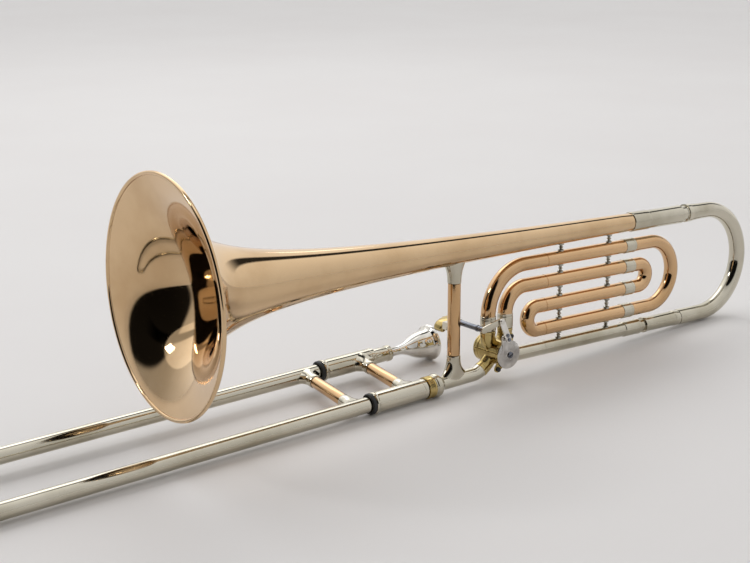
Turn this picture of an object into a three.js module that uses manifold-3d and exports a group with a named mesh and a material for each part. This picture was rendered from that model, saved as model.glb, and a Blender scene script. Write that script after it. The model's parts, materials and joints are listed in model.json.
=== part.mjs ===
// Tenor trombone with a thumb valve, lying at rest on a table, in millimetres.
// +X runs from the slide bow towards the main tuning crook, +Y from the neckpipe leg of the slide
// to its mouthpiece leg, and +Z up. The origin is under the middle of the whole instrument, on the table.
//
// Two frames carry the design:
//   slide frame: X along the slide legs, Y across them, origin where the neckpipe leaves the lock nut;
//   bell frame:  X along the bell axis, Z up in the plane of the bell tubing, origin in the bell mouth.
import * as THREE from "three";
import { mergeVertices } from "three/addons/utils/BufferGeometryUtils.js";
import Module from "manifold-3d";

const wasm = await Module();
wasm.setup();

// ---- driving dimensions ----
const GAP = 0.3;
const BELL_MOUTH_RADIUS = 108;
const BELL_LENGTH = 566;
const BELL_WALL = 1.0;
const RIM_BEAD_RADIUS = 2;
const FLARE_SCALE = 18.7;
const FLARE_POWER = 0.7;

const NECK_JOINT = { x: 303, z: -134.5 };
const BELL_PITCH_DEG = 2.55;
const BELL_LEAN_DEG = 7.5;

const SLIDE_SPACING = 88;
const OUTER_TUBE = { outer: 7.8, inner: 7.4 };
const INNER_TUBE = { outer: 6.95, inner: 6.4 };
const STOCKING = { radius: 7.1, length: 115 };
const LEADPIPE = { outer: 6.1, inner: 5.5, length: 150 };
const BOW_CENTRE_X = -747;
const BOW_TUBE = { outer: 8, inner: 7.1 };
const BARREL = { mouth: -84.5, end: -20.5, outer: 10.2, inner: 8.4, bead: 11 };
const INNER_BRACE_X = -37.5;
const OUTER_BRACE_X = -104;
const LOCK_NUT_RADIUS = 12;
const MOUTHPIECE_RIM = { x: 58, radius: 19.5 };

const PIPE = { outer: 7.3, inner: 6.7 };
const F_TUBE = { outer: 7.65, inner: 7 };
const F_LEG = { outer: 6.5, inner: 5.9 };
const FERRULE_RADIUS = 8.2;
const ROW_Z = [-26, -49, -74, -99.5];
const LEG_A_X = 365;
const LEG_B_X = 388;
const LEG_TOP_Z = -74;
const LEG_FOOT_Z = -89;
const ROW_END_X = 572.5;
const RETURN_BEND_X = 432;
const LARGE_CROOK_X = 601;
const SMALL_CROOK_X = 583;
const SMALL_BRACE_X = [464.5, 535.9];

const OUTLET_Z = -121;
const MAIN_CROOK_X = 692;
const MAIN_TUBE = { outer: 9, inner: 8.2 };
const TUNING_GAP = 8;
const UPPER_SLEEVE_END = 646;
const UPPER_SLEEVE_STEP = 592;
const LOWER_SLEEVE_START = 561.5;
const LOWER_SLEEVE_END = 586;
const LOWER_LEG_END = 651.5;
const TUNING_LEG = { upper: 74, lower: 72 };

const VALVE = { x: 376, z: -112, radius: 14.4, bore: 13.2, half: 16.5 };
const ROTOR_RADIUS = 12.8;
const STOP_PIN = { radius: 19, angleDeg: 108 };
const LEVER_SHAFT = { x: 339, z: -79.5 };
const LEVER_ARM = { radius: 22.5, angleDeg: 15 };
const POST_X = 320;
const POST_TUBE = { low: -107, high: -33 };

// ---- shape helpers ----
const rad = THREE.MathUtils.degToRad;

// A solid of revolution. Each profile point is [distance along the axis, radius].
function turned(profile, axis = "x", sides = 14) {
  const points = profile.map(([along, radius]) => new THREE.Vector2(radius, along));
  const geometry = new THREE.LatheGeometry(points, sides);
  if (axis === "x") geometry.rotateZ(-Math.PI / 2);
  if (axis === "z") geometry.rotateX(Math.PI / 2);
  return geometry;
}

function ring(from, to, outer, inner, axis = "x", sides = 14) {
  return turned([[from, inner], [from, outer], [to, outer], [to, inner], [from, inner]], axis, sides);
}

function rod(from, to, radius, axis = "x", sides = 14) {
  return turned([[from, 0], [from, radius], [to, radius], [to, 0]], axis, sides);
}

// A flat route of straight runs and bends, kept as stations with a point and a direction each.
class Route {
  static bendStepDeg = 20;

  constructor(x, y, headingDeg) {
    this.x = x;
    this.y = y;
    this.heading = rad(headingDeg);
    this.stations = [];
    this.mark();
  }

  mark() {
    this.stations.push([this.x, this.y, this.heading]);
  }

  forward(length) {
    this.x += length * Math.cos(this.heading);
    this.y += length * Math.sin(this.heading);
    this.mark();
    return this;
  }

  // A positive angle bends to the left.
  bend(radius, angleDeg) {
    const steps = Math.ceil(Math.abs(angleDeg) / Route.bendStepDeg);
    const step = rad(angleDeg) / steps;
    const chord = 2 * radius * Math.sin(Math.abs(step) / 2);
    for (let i = 0; i < steps; i += 1) {
      this.x += chord * Math.cos(this.heading + step / 2);
      this.y += chord * Math.sin(this.heading + step / 2);
      this.heading += step;
      this.mark();
    }
    return this;
  }
}

const inBellPlane = (x, y) => new THREE.Vector3(x, 0, y);
const inSlidePlane = (x, y) => new THREE.Vector3(x, y, 0);

// Lets ExtrudeGeometry place one ring of vertices at each station of a route.
class StationCurve extends THREE.Curve {
  constructor(route, lift) {
    super();
    this.points = route.stations.map(([x, y]) => lift(x, y));
    this.directions = route.stations.map(([, , a]) => lift(Math.cos(a), Math.sin(a)));
  }

  at(list, u) {
    return list[Math.round(u * (list.length - 1))].clone();
  }

  getPointAt(u, target = new THREE.Vector3()) {
    return target.copy(this.at(this.points, u));
  }

  getTangentAt(u, target = new THREE.Vector3()) {
    return target.copy(this.at(this.directions, u));
  }

  getSpacedPoints() {
    return this.points.map((point) => point.clone());
  }
}

function circle(radius, sides) {
  const points = [];
  for (let i = 0; i < sides; i += 1) {
    const angle = (2 * Math.PI * i) / sides;
    points.push(new THREE.Vector2(radius * Math.cos(angle), radius * Math.sin(angle)));
  }
  return points;
}

function extrudeAlong(shape, curve) {
  return new THREE.ExtrudeGeometry(shape, {
    steps: curve.points.length - 1,
    bevelEnabled: false,
    extrudePath: curve,
  });
}

function solidAlong(route, radius, lift = inBellPlane, sides = 12) {
  return extrudeAlong(new THREE.Shape(circle(radius, sides)), new StationCurve(route, lift));
}

function tubeAlong(route, size, lift = inBellPlane, sides = 12) {
  const shape = new THREE.Shape(circle(size.outer, sides));
  shape.holes.push(new THREE.Path(circle(size.inner, sides)));
  return extrudeAlong(shape, new StationCurve(route, lift));
}

// A flat plate: its outline lies in X and Z, and it is thick along Y.
function plate(outline, yFrom, yTo) {
  const shape = new THREE.Shape(outline.map(([x, z]) => new THREE.Vector2(x, z)));
  const geometry = new THREE.ExtrudeGeometry(shape, { depth: yTo - yFrom, bevelEnabled: false });
  return geometry.rotateX(Math.PI / 2).translate(0, yTo, 0);
}

// The outline of a strap with round ends between two points.
function strap(ax, az, bx, bz, halfWidth) {
  const along = Math.atan2(bz - az, bx - ax);
  const points = [];
  const steps = 6;
  for (let i = 0; i <= steps; i += 1) {
    const angle = along - Math.PI / 2 + (Math.PI * i) / steps;
    points.push([bx + halfWidth * Math.cos(angle), bz + halfWidth * Math.sin(angle)]);
  }
  for (let i = 0; i <= steps; i += 1) {
    const angle = along + Math.PI / 2 + (Math.PI * i) / steps;
    points.push([ax + halfWidth * Math.cos(angle), az + halfWidth * Math.sin(angle)]);
  }
  return points;
}

function toSolid(geometry) {
  const bare = geometry.clone();
  bare.deleteAttribute("normal");
  bare.deleteAttribute("uv");
  const merged = mergeVertices(bare, 1e-4);
  return new wasm.Manifold(
    new wasm.Mesh({
      numProp: 3,
      vertProperties: new Float32Array(merged.attributes.position.array),
      triVerts: new Uint32Array(merged.index.array),
    }),
  );
}

function toGeometry(solid) {
  const mesh = solid.getMesh();
  const geometry = new THREE.BufferGeometry();
  geometry.setAttribute("position", new THREE.BufferAttribute(mesh.vertProperties, 3));
  geometry.setIndex(new THREE.BufferAttribute(mesh.triVerts, 1));
  geometry.computeVertexNormals();
  return geometry;
}

function join(...geometries) {
  return toGeometry(geometries.map(toSolid).reduce((whole, next) => whole.add(next)));
}

function cut(body, ...tools) {
  return toGeometry(tools.map(toSolid).reduce((rest, tool) => rest.subtract(tool), toSolid(body)));
}

// ---- materials ----
const metal = (color, roughness) => ({ color, roughness, metalness: 1 });
const MATERIALS = {
  rose_brass: metal(0xc99b72, 0.16),
  yellow_brass: metal(0xb59a55, 0.2),
  nickel_silver: metal(0xb9b29c, 0.16),
  silver_plate: metal(0xdedddc, 0.12),
  spring_steel: metal(0x8f8f92, 0.35),
  black_rubber: { color: 0x141414, roughness: 0.6, metalness: 0 },
  cork: { color: 0xa98158, roughness: 0.9, metalness: 0 },
};

const slideSection = new THREE.Group();
slideSection.name = "slide_section";
const bellSection = new THREE.Group();
bellSection.name = "bell_section";

function add(group, name, material, geometry) {
  const mesh = new THREE.Mesh(geometry, new THREE.MeshStandardMaterial(MATERIALS[material]));
  mesh.name = name;
  group.add(mesh);
  return mesh;
}

// ---- inner slide ----
function innerSlideTube() {
  const end = BARREL.end;
  const tip = BOW_CENTRE_X + 32;
  const step = tip + STOCKING.length;
  return turned([
    [tip, INNER_TUBE.inner],
    [tip, STOCKING.radius],
    [step, STOCKING.radius],
    [step, INNER_TUBE.outer],
    [end, INNER_TUBE.outer],
    [end, INNER_TUBE.inner],
    [tip, INNER_TUBE.inner],
  ]);
}

function corkBarrel() {
  const { mouth, end, outer, inner, bead } = BARREL;
  const grip = INNER_TUBE.outer + GAP;
  const shoulder = end - 10;
  return turned([
    [mouth, inner],
    [mouth, bead - 0.6],
    [mouth + 1, bead],
    [mouth + 3.5, bead],
    [mouth + 5, outer],
    [end - 1, outer],
    [end, outer - 0.6],
    [end, grip],
    [shoulder, grip],
    [shoulder, inner],
    [mouth, inner],
  ], "x", 16);
}

// One end socket of a hand brace: a saddle on the tube and a straight collar for the brace.
function braceSocket(saddleRadius, collarEnd) {
  const foot = saddleRadius - 5;
  const flare = saddleRadius + 2;
  const body = turned([
    [foot, 0],
    [foot, 11.2],
    [flare, 9.9],
    [flare + 2.5, 8],
    [flare + 6, 6.9],
    [collarEnd, 6.9],
    [collarEnd, 0],
  ], "y");
  return cut(body, rod(-20, 20, saddleRadius + GAP, "x", 16));
}

function addBrace(prefix, x, saddleRadius) {
  const socketEnd = saddleRadius + 12;
  const socket = () => braceSocket(saddleRadius, socketEnd);
  add(slideSection, `${prefix}_socket_near`, "nickel_silver", socket()).position.set(x, 0, 0);
  const far = add(slideSection, `${prefix}_socket_far`, "nickel_silver", socket());
  far.position.set(x, SLIDE_SPACING, 0);
  far.rotation.x = Math.PI;
  const tube = ring(socketEnd + GAP, SLIDE_SPACING - socketEnd - GAP, 6.2, 5.4, "y");
  add(slideSection, `${prefix}_tube`, "rose_brass", tube).position.set(x, 0, 0);
}

function mouthpieceReceiver() {
  const start = BARREL.end + GAP;
  const tail = start - LEADPIPE.length;
  return turned([
    [tail, LEADPIPE.inner],
    [tail, LEADPIPE.outer],
    [start, LEADPIPE.outer],
    [start, 8],
    [-3.4, 8],
    [-2.6, 8.6],
    [1, 8.6],
    [1.6, 8],
    [1.6, 6.6],
    [start + 2, 6.6],
    [start + 2, LEADPIPE.inner],
    [tail, LEADPIPE.inner],
  ], "x", 16);
}

function mouthpiece() {
  const { x, radius } = MOUTHPIECE_RIM;
  return turned([
    [-17, 4.7],
    [-17, 5.7],
    [3, 6.1],
    [10, 5.2],
    [x - 38, 6.2],
    [x - 30, 9.6],
    [x - 22, 13],
    [x - 14, 15],
    [x - 7, 15.8],
    [x - 4.5, radius - 0.6],
    [x - 2, radius],
    [x - 0.6, radius - 1.4],
    [x, radius - 4],
    [x - 2.5, 12.9],
    [x - 10, 11.6],
    [x - 18, 8.4],
    [x - 26, 3.6],
    [-17, 4.7],
  ], "x", 18);
}

function addInnerSlide() {
  const legs = { near: 0, far: SLIDE_SPACING };
  for (const [side, y] of Object.entries(legs)) {
    add(slideSection, `inner_tube_${side}`, "nickel_silver", innerSlideTube()).position.y = y;
    add(slideSection, `cork_barrel_${side}`, "nickel_silver", corkBarrel()).position.y = y;
    const buffer = ring(BARREL.mouth - 4.5, BARREL.mouth - GAP, BARREL.bead - 0.5, OUTER_TUBE.outer + 0.5);
    add(slideSection, `barrel_buffer_${side}`, "black_rubber", buffer).position.y = y;
  }
  addBrace("inner_brace", INNER_BRACE_X, BARREL.outer);

  const clearNeck = PIPE.outer + GAP;
  const collar = ring(BARREL.end + GAP, -LOCK_NUT_RADIUS, 11.2, clearNeck, "x", 20);
  add(slideSection, "threaded_collar", "yellow_brass", collar);
  const nutStart = -LOCK_NUT_RADIUS + GAP;
  const nut = turned([
    [nutStart, clearNeck],
    [nutStart, LOCK_NUT_RADIUS - 1.2],
    [nutStart + 1.8, LOCK_NUT_RADIUS],
    [-5.5, LOCK_NUT_RADIUS],
    [-2.5, LOCK_NUT_RADIUS - 1.5],
    [0, LOCK_NUT_RADIUS - 3.4],
    [0, clearNeck],
    [nutStart, clearNeck],
  ], "x", 20);
  add(slideSection, "lock_nut", "nickel_silver", nut);

  add(slideSection, "mouthpiece_receiver", "nickel_silver", mouthpieceReceiver()).position.y = SLIDE_SPACING;
  add(slideSection, "mouthpiece", "silver_plate", mouthpiece()).position.y = SLIDE_SPACING;
}

// ---- outer slide ----
const FERRULE_START = BOW_CENTRE_X - 2;
const FERRULE_END = BOW_CENTRE_X + 25;
const BOW_TIP_X = BOW_CENTRE_X - SLIDE_SPACING / 2 - BOW_TUBE.outer;
const WATER_KEY = { nippleDeg: 45, hingeX: BOW_CENTRE_X - 4, hingeY: 15.6, halfWidth: 3 };

function bowFerrule() {
  const lap = BOW_CENTRE_X + 1;
  return turned([
    [FERRULE_START, BOW_TUBE.inner],
    [FERRULE_START, 8.9],
    [FERRULE_END, 8.9],
    [FERRULE_END, OUTER_TUBE.outer + GAP],
    [lap, OUTER_TUBE.outer + GAP],
    [lap, BOW_TUBE.inner],
    [FERRULE_START, BOW_TUBE.inner],
  ]);
}

// The distance from the bow's centre line to a point over its inner wall, on the nipple's axis.
function overNipple(height) {
  const reach = SLIDE_SPACING / 2 - BOW_TUBE.outer - height;
  const angle = rad(WATER_KEY.nippleDeg);
  return [BOW_CENTRE_X - reach * Math.sin(angle), SLIDE_SPACING / 2 - reach * Math.cos(angle)];
}

function alongNipple(geometry) {
  const [x, y] = overNipple(0);
  return geometry.rotateZ(-rad(WATER_KEY.nippleDeg)).translate(x, y, 0);
}

function slideBow() {
  const centre = SLIDE_SPACING / 2;
  const route = new Route(BOW_CENTRE_X, 0, 180).bend(centre, -180);
  const saddle = new THREE.BoxGeometry(5, 7, 3).translate(WATER_KEY.hingeX, 11, 0);
  const body = join(
    tubeAlong(route, BOW_TUBE, inSlidePlane, 12),
    bowFerrule(),
    bowFerrule().translate(0, SLIDE_SPACING, 0),
    rod(BOW_TIP_X - 1.5, BOW_TIP_X + 2, 6, "x").translate(0, centre, 0),
    alongNipple(rod(-0.5, 3, 3.4, "y", 12)),
    saddle,
  );
  const pinHole = rod(-8, 8, 1.2, "z", 10).translate(WATER_KEY.hingeX, WATER_KEY.hingeY, 0);
  return cut(body, alongNipple(rod(-4, 8, 2, "y", 12)), pinHole);
}

// The water key rocks on a pin along Z: a pad arm over the nipple and a finger plate beyond the pin.
function waterKeyLever() {
  const { hingeX, hingeY, halfWidth } = WATER_KEY;
  const [padX, padY] = overNipple(7);
  const bar = (ax, ay, bx, by, half, width) =>
    plate(strap(ax, ay, bx, by, half), -width, width).rotateX(Math.PI / 2);
  const padArm = bar(padX, -padY, hingeX, -hingeY - 2, 1.1, halfWidth);
  const fingerPlate = bar(hingeX, -hingeY - 2, hingeX + 20, -hingeY - 5, 1, halfWidth);
  const hub = rod(-halfWidth, halfWidth, 2.6, "z", 12).translate(hingeX, hingeY, 0);
  const slot = new THREE.BoxGeometry(8, 9, 3.6).translate(hingeX, hingeY - 4.2, 0);
  return cut(join(padArm, fingerPlate, hub), slot);
}

function helix(radius, pitch, turns, wire, axis) {
  const steps = Math.round(turns * 8);
  const route = { points: [], directions: [] };
  for (let i = 0; i <= steps; i += 1) {
    const angle = (2 * Math.PI * turns * i) / steps;
    const rise = (pitch * turns * i) / steps;
    route.points.push(new THREE.Vector3(radius * Math.cos(angle), radius * Math.sin(angle), rise));
    const lean = new THREE.Vector3(-Math.sin(angle), Math.cos(angle), pitch / (2 * Math.PI * radius));
    route.directions.push(lean.normalize());
  }
  const curve = Object.assign(new StationCurve({ stations: [] }, inSlidePlane), route);
  const geometry = extrudeAlong(new THREE.Shape(circle(wire, 5)), curve);
  if (axis === "y") geometry.rotateX(-Math.PI / 2);
  return geometry;
}

function addOuterSlide() {
  for (const [side, y] of Object.entries({ near: 0, far: SLIDE_SPACING })) {
    const tube = ring(BOW_CENTRE_X + 1 + GAP, BARREL.mouth + 10, OUTER_TUBE.outer, OUTER_TUBE.inner);
    add(slideSection, `outer_tube_${side}`, "nickel_silver", tube).position.y = y;
  }
  addBrace("outer_brace", OUTER_BRACE_X, OUTER_TUBE.outer);
  add(slideSection, "slide_bow", "nickel_silver", slideBow());
  const bumper = turned([
    [BOW_TIP_X - 5, 0],
    [BOW_TIP_X - 5, 4.6],
    [BOW_TIP_X - 4.2, 5.4],
    [BOW_TIP_X - 1.5 - GAP, 5.4],
    [BOW_TIP_X - 1.5 - GAP, 0],
  ]);
  add(slideSection, "bow_bumper", "black_rubber", bumper).position.y = SLIDE_SPACING / 2;
  add(slideSection, "water_key_lever", "nickel_silver", waterKeyLever());
  const [corkX, corkY] = overNipple(4.4);
  const cork = rod(-1.1, 1.1, 3.6, "y", 12).rotateZ(-rad(WATER_KEY.nippleDeg)).translate(corkX, corkY, 0);
  add(slideSection, "water_key_cork", "cork", cork);
  const spring = helix(3.4, 1, 3, 0.4, "z").translate(WATER_KEY.hingeX, WATER_KEY.hingeY, 3.8);
  add(slideSection, "water_key_spring", "spring_steel", spring);
}

// ---- bell ----
const flareRadius = (x) => (BELL_MOUTH_RADIUS - RIM_BEAD_RADIUS) * (1 + x / FLARE_SCALE) ** -FLARE_POWER;
const bellOuterRadius = (x) => flareRadius(x) + BELL_WALL / 2;

// A point on the bell wall, offset from its middle surface along the normal.
function bellPoint(x, offset) {
  const slope = (-FLARE_POWER * flareRadius(x)) / (FLARE_SCALE + x);
  const length = Math.hypot(1, slope);
  return [x - (offset * slope) / length, flareRadius(x) + offset / length];
}

function bell() {
  const stations = 12;
  const outer = [];
  const inner = [];
  for (let i = 0; i <= stations; i += 1) {
    const x = 0.5 + (BELL_LENGTH - 0.5) * (i / stations) ** 2.4;
    outer.push(bellPoint(x, BELL_WALL / 2));
    inner.unshift(bellPoint(x, -BELL_WALL / 2));
  }
  outer[stations][0] = BELL_LENGTH;
  inner[0][0] = BELL_LENGTH;
  const bead = [];
  const beadSteps = 8;
  for (let i = 0; i <= beadSteps; i += 1) {
    const angle = rad(256 - (306 * i) / beadSteps);
    const middle = BELL_MOUTH_RADIUS - RIM_BEAD_RADIUS;
    bead.push([RIM_BEAD_RADIUS * Math.cos(angle), middle + RIM_BEAD_RADIUS * Math.sin(angle)]);
  }
  return turned([...bead, ...outer, ...inner, bead[0]], "x", 28);
}

function addBell() {
  add(bellSection, "bell", "rose_brass", bell());

  const sleeveBore = MAIN_TUBE.outer + GAP;
  const sleeve = turned([
    [BELL_LENGTH + GAP, sleeveBore],
    [BELL_LENGTH + GAP, 10.9],
    [UPPER_SLEEVE_STEP, 10.9],
    [UPPER_SLEEVE_STEP + 0.6, 10.4],
    [UPPER_SLEEVE_END, 10.4],
    [UPPER_SLEEVE_END, sleeveBore],
    [BELL_LENGTH + GAP, sleeveBore],
  ]);
  add(bellSection, "tuning_sleeve_upper", "nickel_silver", sleeve);
}

// ---- main tuning crook ----
function addTuningCrook() {
  const upperStart = UPPER_SLEEVE_END + TUNING_GAP;
  const lowerStart = LOWER_SLEEVE_END + TUNING_GAP;
  const radius = -OUTLET_Z / 2;
  const route = new Route(upperStart, 0, 0)
    .forward(MAIN_CROOK_X - upperStart)
    .bend(radius, -180)
    .forward(MAIN_CROOK_X - LOWER_LEG_END);
  add(bellSection, "tuning_crook", "nickel_silver", tubeAlong(route, MAIN_TUBE, inBellPlane, 12));
  const upperTip = upperStart - TUNING_LEG.upper;
  const upperLeg = ring(upperTip, upperStart - GAP, MAIN_TUBE.outer, MAIN_TUBE.inner);
  add(bellSection, "tuning_leg_upper", "nickel_silver", upperLeg);
  const lowerTip = lowerStart - TUNING_LEG.lower;
  const lowerLeg = turned([
    [lowerTip, 5.9],
    [lowerTip, 6.4],
    [lowerStart, 6.4],
    [lowerStart, 8.3],
    [LOWER_LEG_END - GAP, 8.3],
    [LOWER_LEG_END - GAP, 5.9],
    [lowerTip, 5.9],
  ]);
  add(bellSection, "tuning_leg_lower", "nickel_silver", lowerLeg).position.z = OUTLET_Z;
}

// ---- neckpipe, bell post and outlet pipe ----
function neckRoute() {
  const heading = BELL_PITCH_DEG;
  const back = 18;
  const x = NECK_JOINT.x - back * Math.cos(rad(heading));
  const z = NECK_JOINT.z - back * Math.sin(rad(heading));
  return new Route(x, z, heading).forward(back + 42).bend(24, 50).forward(5);
}

function overValve(from, to, radius, sides = 20) {
  return rod(from, to, radius, "y", sides).translate(VALVE.x, 0, VALVE.z);
}

function addNeckpipe() {
  const pipe = tubeAlong(neckRoute(), PIPE, inBellPlane, 16);
  add(bellSection, "neckpipe", "nickel_silver", cut(pipe, overValve(-30, 30, VALVE.radius + GAP)));
}

function addBellPost() {
  const bellClearance = turned([
    [290, 0],
    [290, bellOuterRadius(290) + GAP],
    [350, bellOuterRadius(350) + GAP],
    [350, 0],
  ], "x", 28);
  const head = turned([
    [POST_TUBE.high, 0],
    [POST_TUBE.high, 6.9],
    [-24, 7.1],
    [-17, 8.6],
    [-12, 10.4],
    [-8, 10.4],
    [-8, 0],
  ], "z");
  add(bellSection, "bell_post_head", "nickel_silver", cut(head.translate(POST_X, 0, 0), bellClearance));

  const tube = ring(POST_TUBE.low, POST_TUBE.high - GAP, 6.5, 5.6, "z");
  add(bellSection, "bell_post_tube", "rose_brass", tube.translate(POST_X, 0, 0));

  const neckZ = NECK_JOINT.z + (POST_X - NECK_JOINT.x) * Math.tan(rad(BELL_PITCH_DEG));
  const foot = turned([
    [neckZ + 4, 0],
    [neckZ + 4, 12.6],
    [neckZ + 9, 11],
    [-118, 8.8],
    [-112, 7.3],
    [POST_TUBE.low - GAP, 6.9],
    [POST_TUBE.low - GAP, 0],
  ], "z").translate(POST_X, 0, 0);
  const neckClearance = rod(-30, 30, PIPE.outer + GAP, "x", 16).rotateY(-rad(BELL_PITCH_DEG));
  const saddle = cut(foot, neckClearance.translate(POST_X, 0, neckZ));
  add(bellSection, "bell_post_foot", "nickel_silver", saddle);
}

function addOutletPipe() {
  const start = VALVE.x + 21;
  const pipe = turned([
    [start, PIPE.inner],
    [start, 7.5],
    [LOWER_SLEEVE_START, 7.5],
    [LOWER_SLEEVE_START + 0.6, 8.4],
    [LOWER_SLEEVE_END, 8.4],
    [LOWER_SLEEVE_END, PIPE.inner],
    [start, PIPE.inner],
  ]);
  add(bellSection, "outlet_pipe", "nickel_silver", pipe).position.z = OUTLET_Z;
}

// ---- thumb valve ----
// A knuckle leaves the casing on a diagonal and bends by 45 degrees towards its pipe.
const KNUCKLE = { bend: 14, outer: 8, inner: 6.9 };

function knuckleRoute(portDeg, turnDeg, side, runOut) {
  const drift = KNUCKLE.bend * (1 - Math.cos(Math.PI / 4));
  const offset = side - drift;
  const x = VALVE.x + offset * Math.sign(Math.cos(rad(portDeg)));
  const z = VALVE.z + offset * Math.sign(Math.sin(rad(portDeg)));
  return new Route(x, z, portDeg).bend(KNUCKLE.bend, turnDeg).forward(runOut);
}

function valveCasing() {
  const routes = [
    knuckleRoute(135, -45, VALVE.x - LEG_A_X, 5.7),
    knuckleRoute(45, 45, LEG_B_X - VALVE.x, 4.7),
    knuckleRoute(-45, 45, VALVE.z - OUTLET_Z, 5.9),
  ];
  const blank = join(
    overValve(-VALVE.half, VALVE.half, VALVE.radius),
    ...routes.map((route) => solidAlong(route, KNUCKLE.outer)),
  );
  const inlet = solidAlong(neckRoute(), PIPE.inner);
  return cut(
    blank,
    overValve(-VALVE.half - 1, VALVE.half + 1, VALVE.bore),
    ...routes.map((route) => solidAlong(route, KNUCKLE.inner)),
    inlet,
  );
}

function rotor() {
  const body = turned([
    [-19.3, 0],
    [-19.3, 3],
    [-15.5, 3],
    [-15.5, ROTOR_RADIUS],
    [15.5, ROTOR_RADIUS],
    [15.5, 3],
    [17.6, 3],
    [17.6, 0],
  ], "y", 20).translate(VALVE.x, 0, VALVE.z);
  const passage = (z) => rod(-30, 30, 4.9, "x", 12).translate(VALVE.x, 0, VALVE.z + z);
  return cut(body, passage(6.6), passage(-6.6));
}

function onStopCircle(radius, angleDeg) {
  return [VALVE.x + radius * Math.cos(rad(angleDeg)), VALVE.z + radius * Math.sin(rad(angleDeg))];
}

const BUMPER_DEG = [STOP_PIN.angleDeg - 28, STOP_PIN.angleDeg + 118];

function addValve() {
  add(bellSection, "valve_casing", "yellow_brass", valveCasing());
  add(bellSection, "valve_rotor", "yellow_brass", rotor());

  const cap = turned([
    [VALVE.half + GAP, 0],
    [VALVE.half + GAP, 14.8],
    [18.8, 14.8],
    [19.3, 13.6],
    [20.8, 12.8],
    [20.8, 0],
  ], "y", 20);
  const capRecess = rod(10, 18.4, 3.4, "y");
  const rearCap = cut(cap, capRecess).translate(VALVE.x, 0, VALVE.z);
  add(bellSection, "valve_rear_cap", "yellow_brass", rearCap);

  const plateFront = -19;
  const tabs = BUMPER_DEG.map((angle) => {
    const [x, z] = onStopCircle(STOP_PIN.radius, angle);
    const [rootX, rootZ] = onStopCircle(9, angle);
    return plate(strap(rootX, rootZ, x, z, 3.6), plateFront, -VALVE.half - GAP);
  });
  const bearing = join(overValve(plateFront, -VALVE.half - GAP, VALVE.radius), ...tabs);
  add(bellSection, "valve_front_plate", "yellow_brass", cut(bearing, overValve(-25, -10, 3.3, 16)));
  ["upper", "lower"].forEach((name, i) => {
    const [x, z] = onStopCircle(STOP_PIN.radius, BUMPER_DEG[i]);
    const bumper = rod(-22, plateFront - GAP, 3, "y", 12).translate(x, 0, z);
    add(bellSection, `stop_bumper_${name}`, "black_rubber", bumper);
  });

  const [pinX, pinZ] = onStopCircle(STOP_PIN.radius, STOP_PIN.angleDeg);
  const ear = plate(strap(VALVE.x, VALVE.z, pinX, pinZ, 4.4), -22, -19.6);
  const disc = join(overValve(-22, -19.6, 15), ear);
  add(bellSection, "stop_disc", "silver_plate", disc);
  const screw = turned([[-24.2, 0], [-24.2, 2.6], [-23.6, 3.4], [-22.3, 3.4], [-22.3, 0]], "y");
  add(bellSection, "stop_screw", "nickel_silver", screw.translate(VALVE.x, 0, VALVE.z));
}

// ---- thumb lever and linkage ----
const ARM_TIP = {
  x: LEVER_SHAFT.x + LEVER_ARM.radius * Math.cos(rad(LEVER_ARM.angleDeg)),
  z: LEVER_SHAFT.z + LEVER_ARM.radius * Math.sin(rad(LEVER_ARM.angleDeg)),
};

function addLever() {
  const { x, z } = LEVER_SHAFT;
  const atShaft = (geometry) => geometry.translate(x, 0, z);

  // The bracket holds the shaft's bearing sleeve on the back of the bell post.
  const strut = plate(strap(POST_X + 4, z, x, z, 3), 12, 16);
  const root = new THREE.BoxGeometry(7, 9.2, 8).translate(POST_X + 1, 6.5 + GAP + 4.6, z);
  const postClearance = rod(-120, -40, 6.5 + GAP, "z", 24).translate(POST_X, 0, 0);
  const sleeve = atShaft(rod(-15, 20, 2.9, "y"));
  const bracket = cut(join(strut, root, sleeve), atShaft(rod(-30, 30, 2.2, "y", 12)), postClearance);
  add(bellSection, "lever_bracket", "nickel_silver", bracket);

  // The lever: a shaft along Y, its crank arm at the front and its hub and thumb paddle at the back.
  const shaft = atShaft(rod(-25.2, 32, 1.8, "y", 12));
  const arm = plate(strap(x, z, ARM_TIP.x, ARM_TIP.z, 3.2), -25.2, -23.6);
  const hub = atShaft(rod(22, 32, 3.8, "y"));
  const paddle = plate([
    [x + 1, z + 3.6],
    [x - 7, z + 1.6],
    [x - 13, z - 2.6],
    [x - 16, z - 8.5],
    [x - 14.2, z - 9.3],
    [x - 11.4, z - 4.4],
    [x - 6, z - 1.2],
    [x + 1, z - 1],
  ], 24, 36);
  add(bellSection, "thumb_lever", "nickel_silver", join(shaft, arm, hub, paddle));

  const spring = atShaft(helix(3.7, 1.1, 4, 0.45, "y").translate(0, 16.8, 0));
  add(bellSection, "lever_spring", "spring_steel", spring);

  // The link hangs from the arm's tip; its lower pin stands just in front of the stop disc's ear.
  const [pinX, pinZ] = onStopCircle(STOP_PIN.radius, STOP_PIN.angleDeg);
  const link = join(
    plate(strap(ARM_TIP.x, ARM_TIP.z, pinX, pinZ, 3.2), -27.2, -25.6),
    rod(-27.2, -22.4, 2.2, "y", 12).translate(pinX, 0, pinZ),
    rod(-28.4, -27, 2.4, "y", 12).translate(pinX, 0, pinZ),
    rod(-28.4, -27, 2.4, "y", 12).translate(ARM_TIP.x, 0, ARM_TIP.z),
  );
  add(bellSection, "link", "silver_plate", link);
}

// ---- valve tubing ----
const ferrule = () => ring(ROW_END_X - 15, ROW_END_X, FERRULE_RADIUS, F_TUBE.outer - 0.3, "x", 12);
const legFerrule = () => ring(LEG_FOOT_Z, LEG_TOP_Z, FERRULE_RADIUS, F_TUBE.outer - 0.3, "z", 12);

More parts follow.
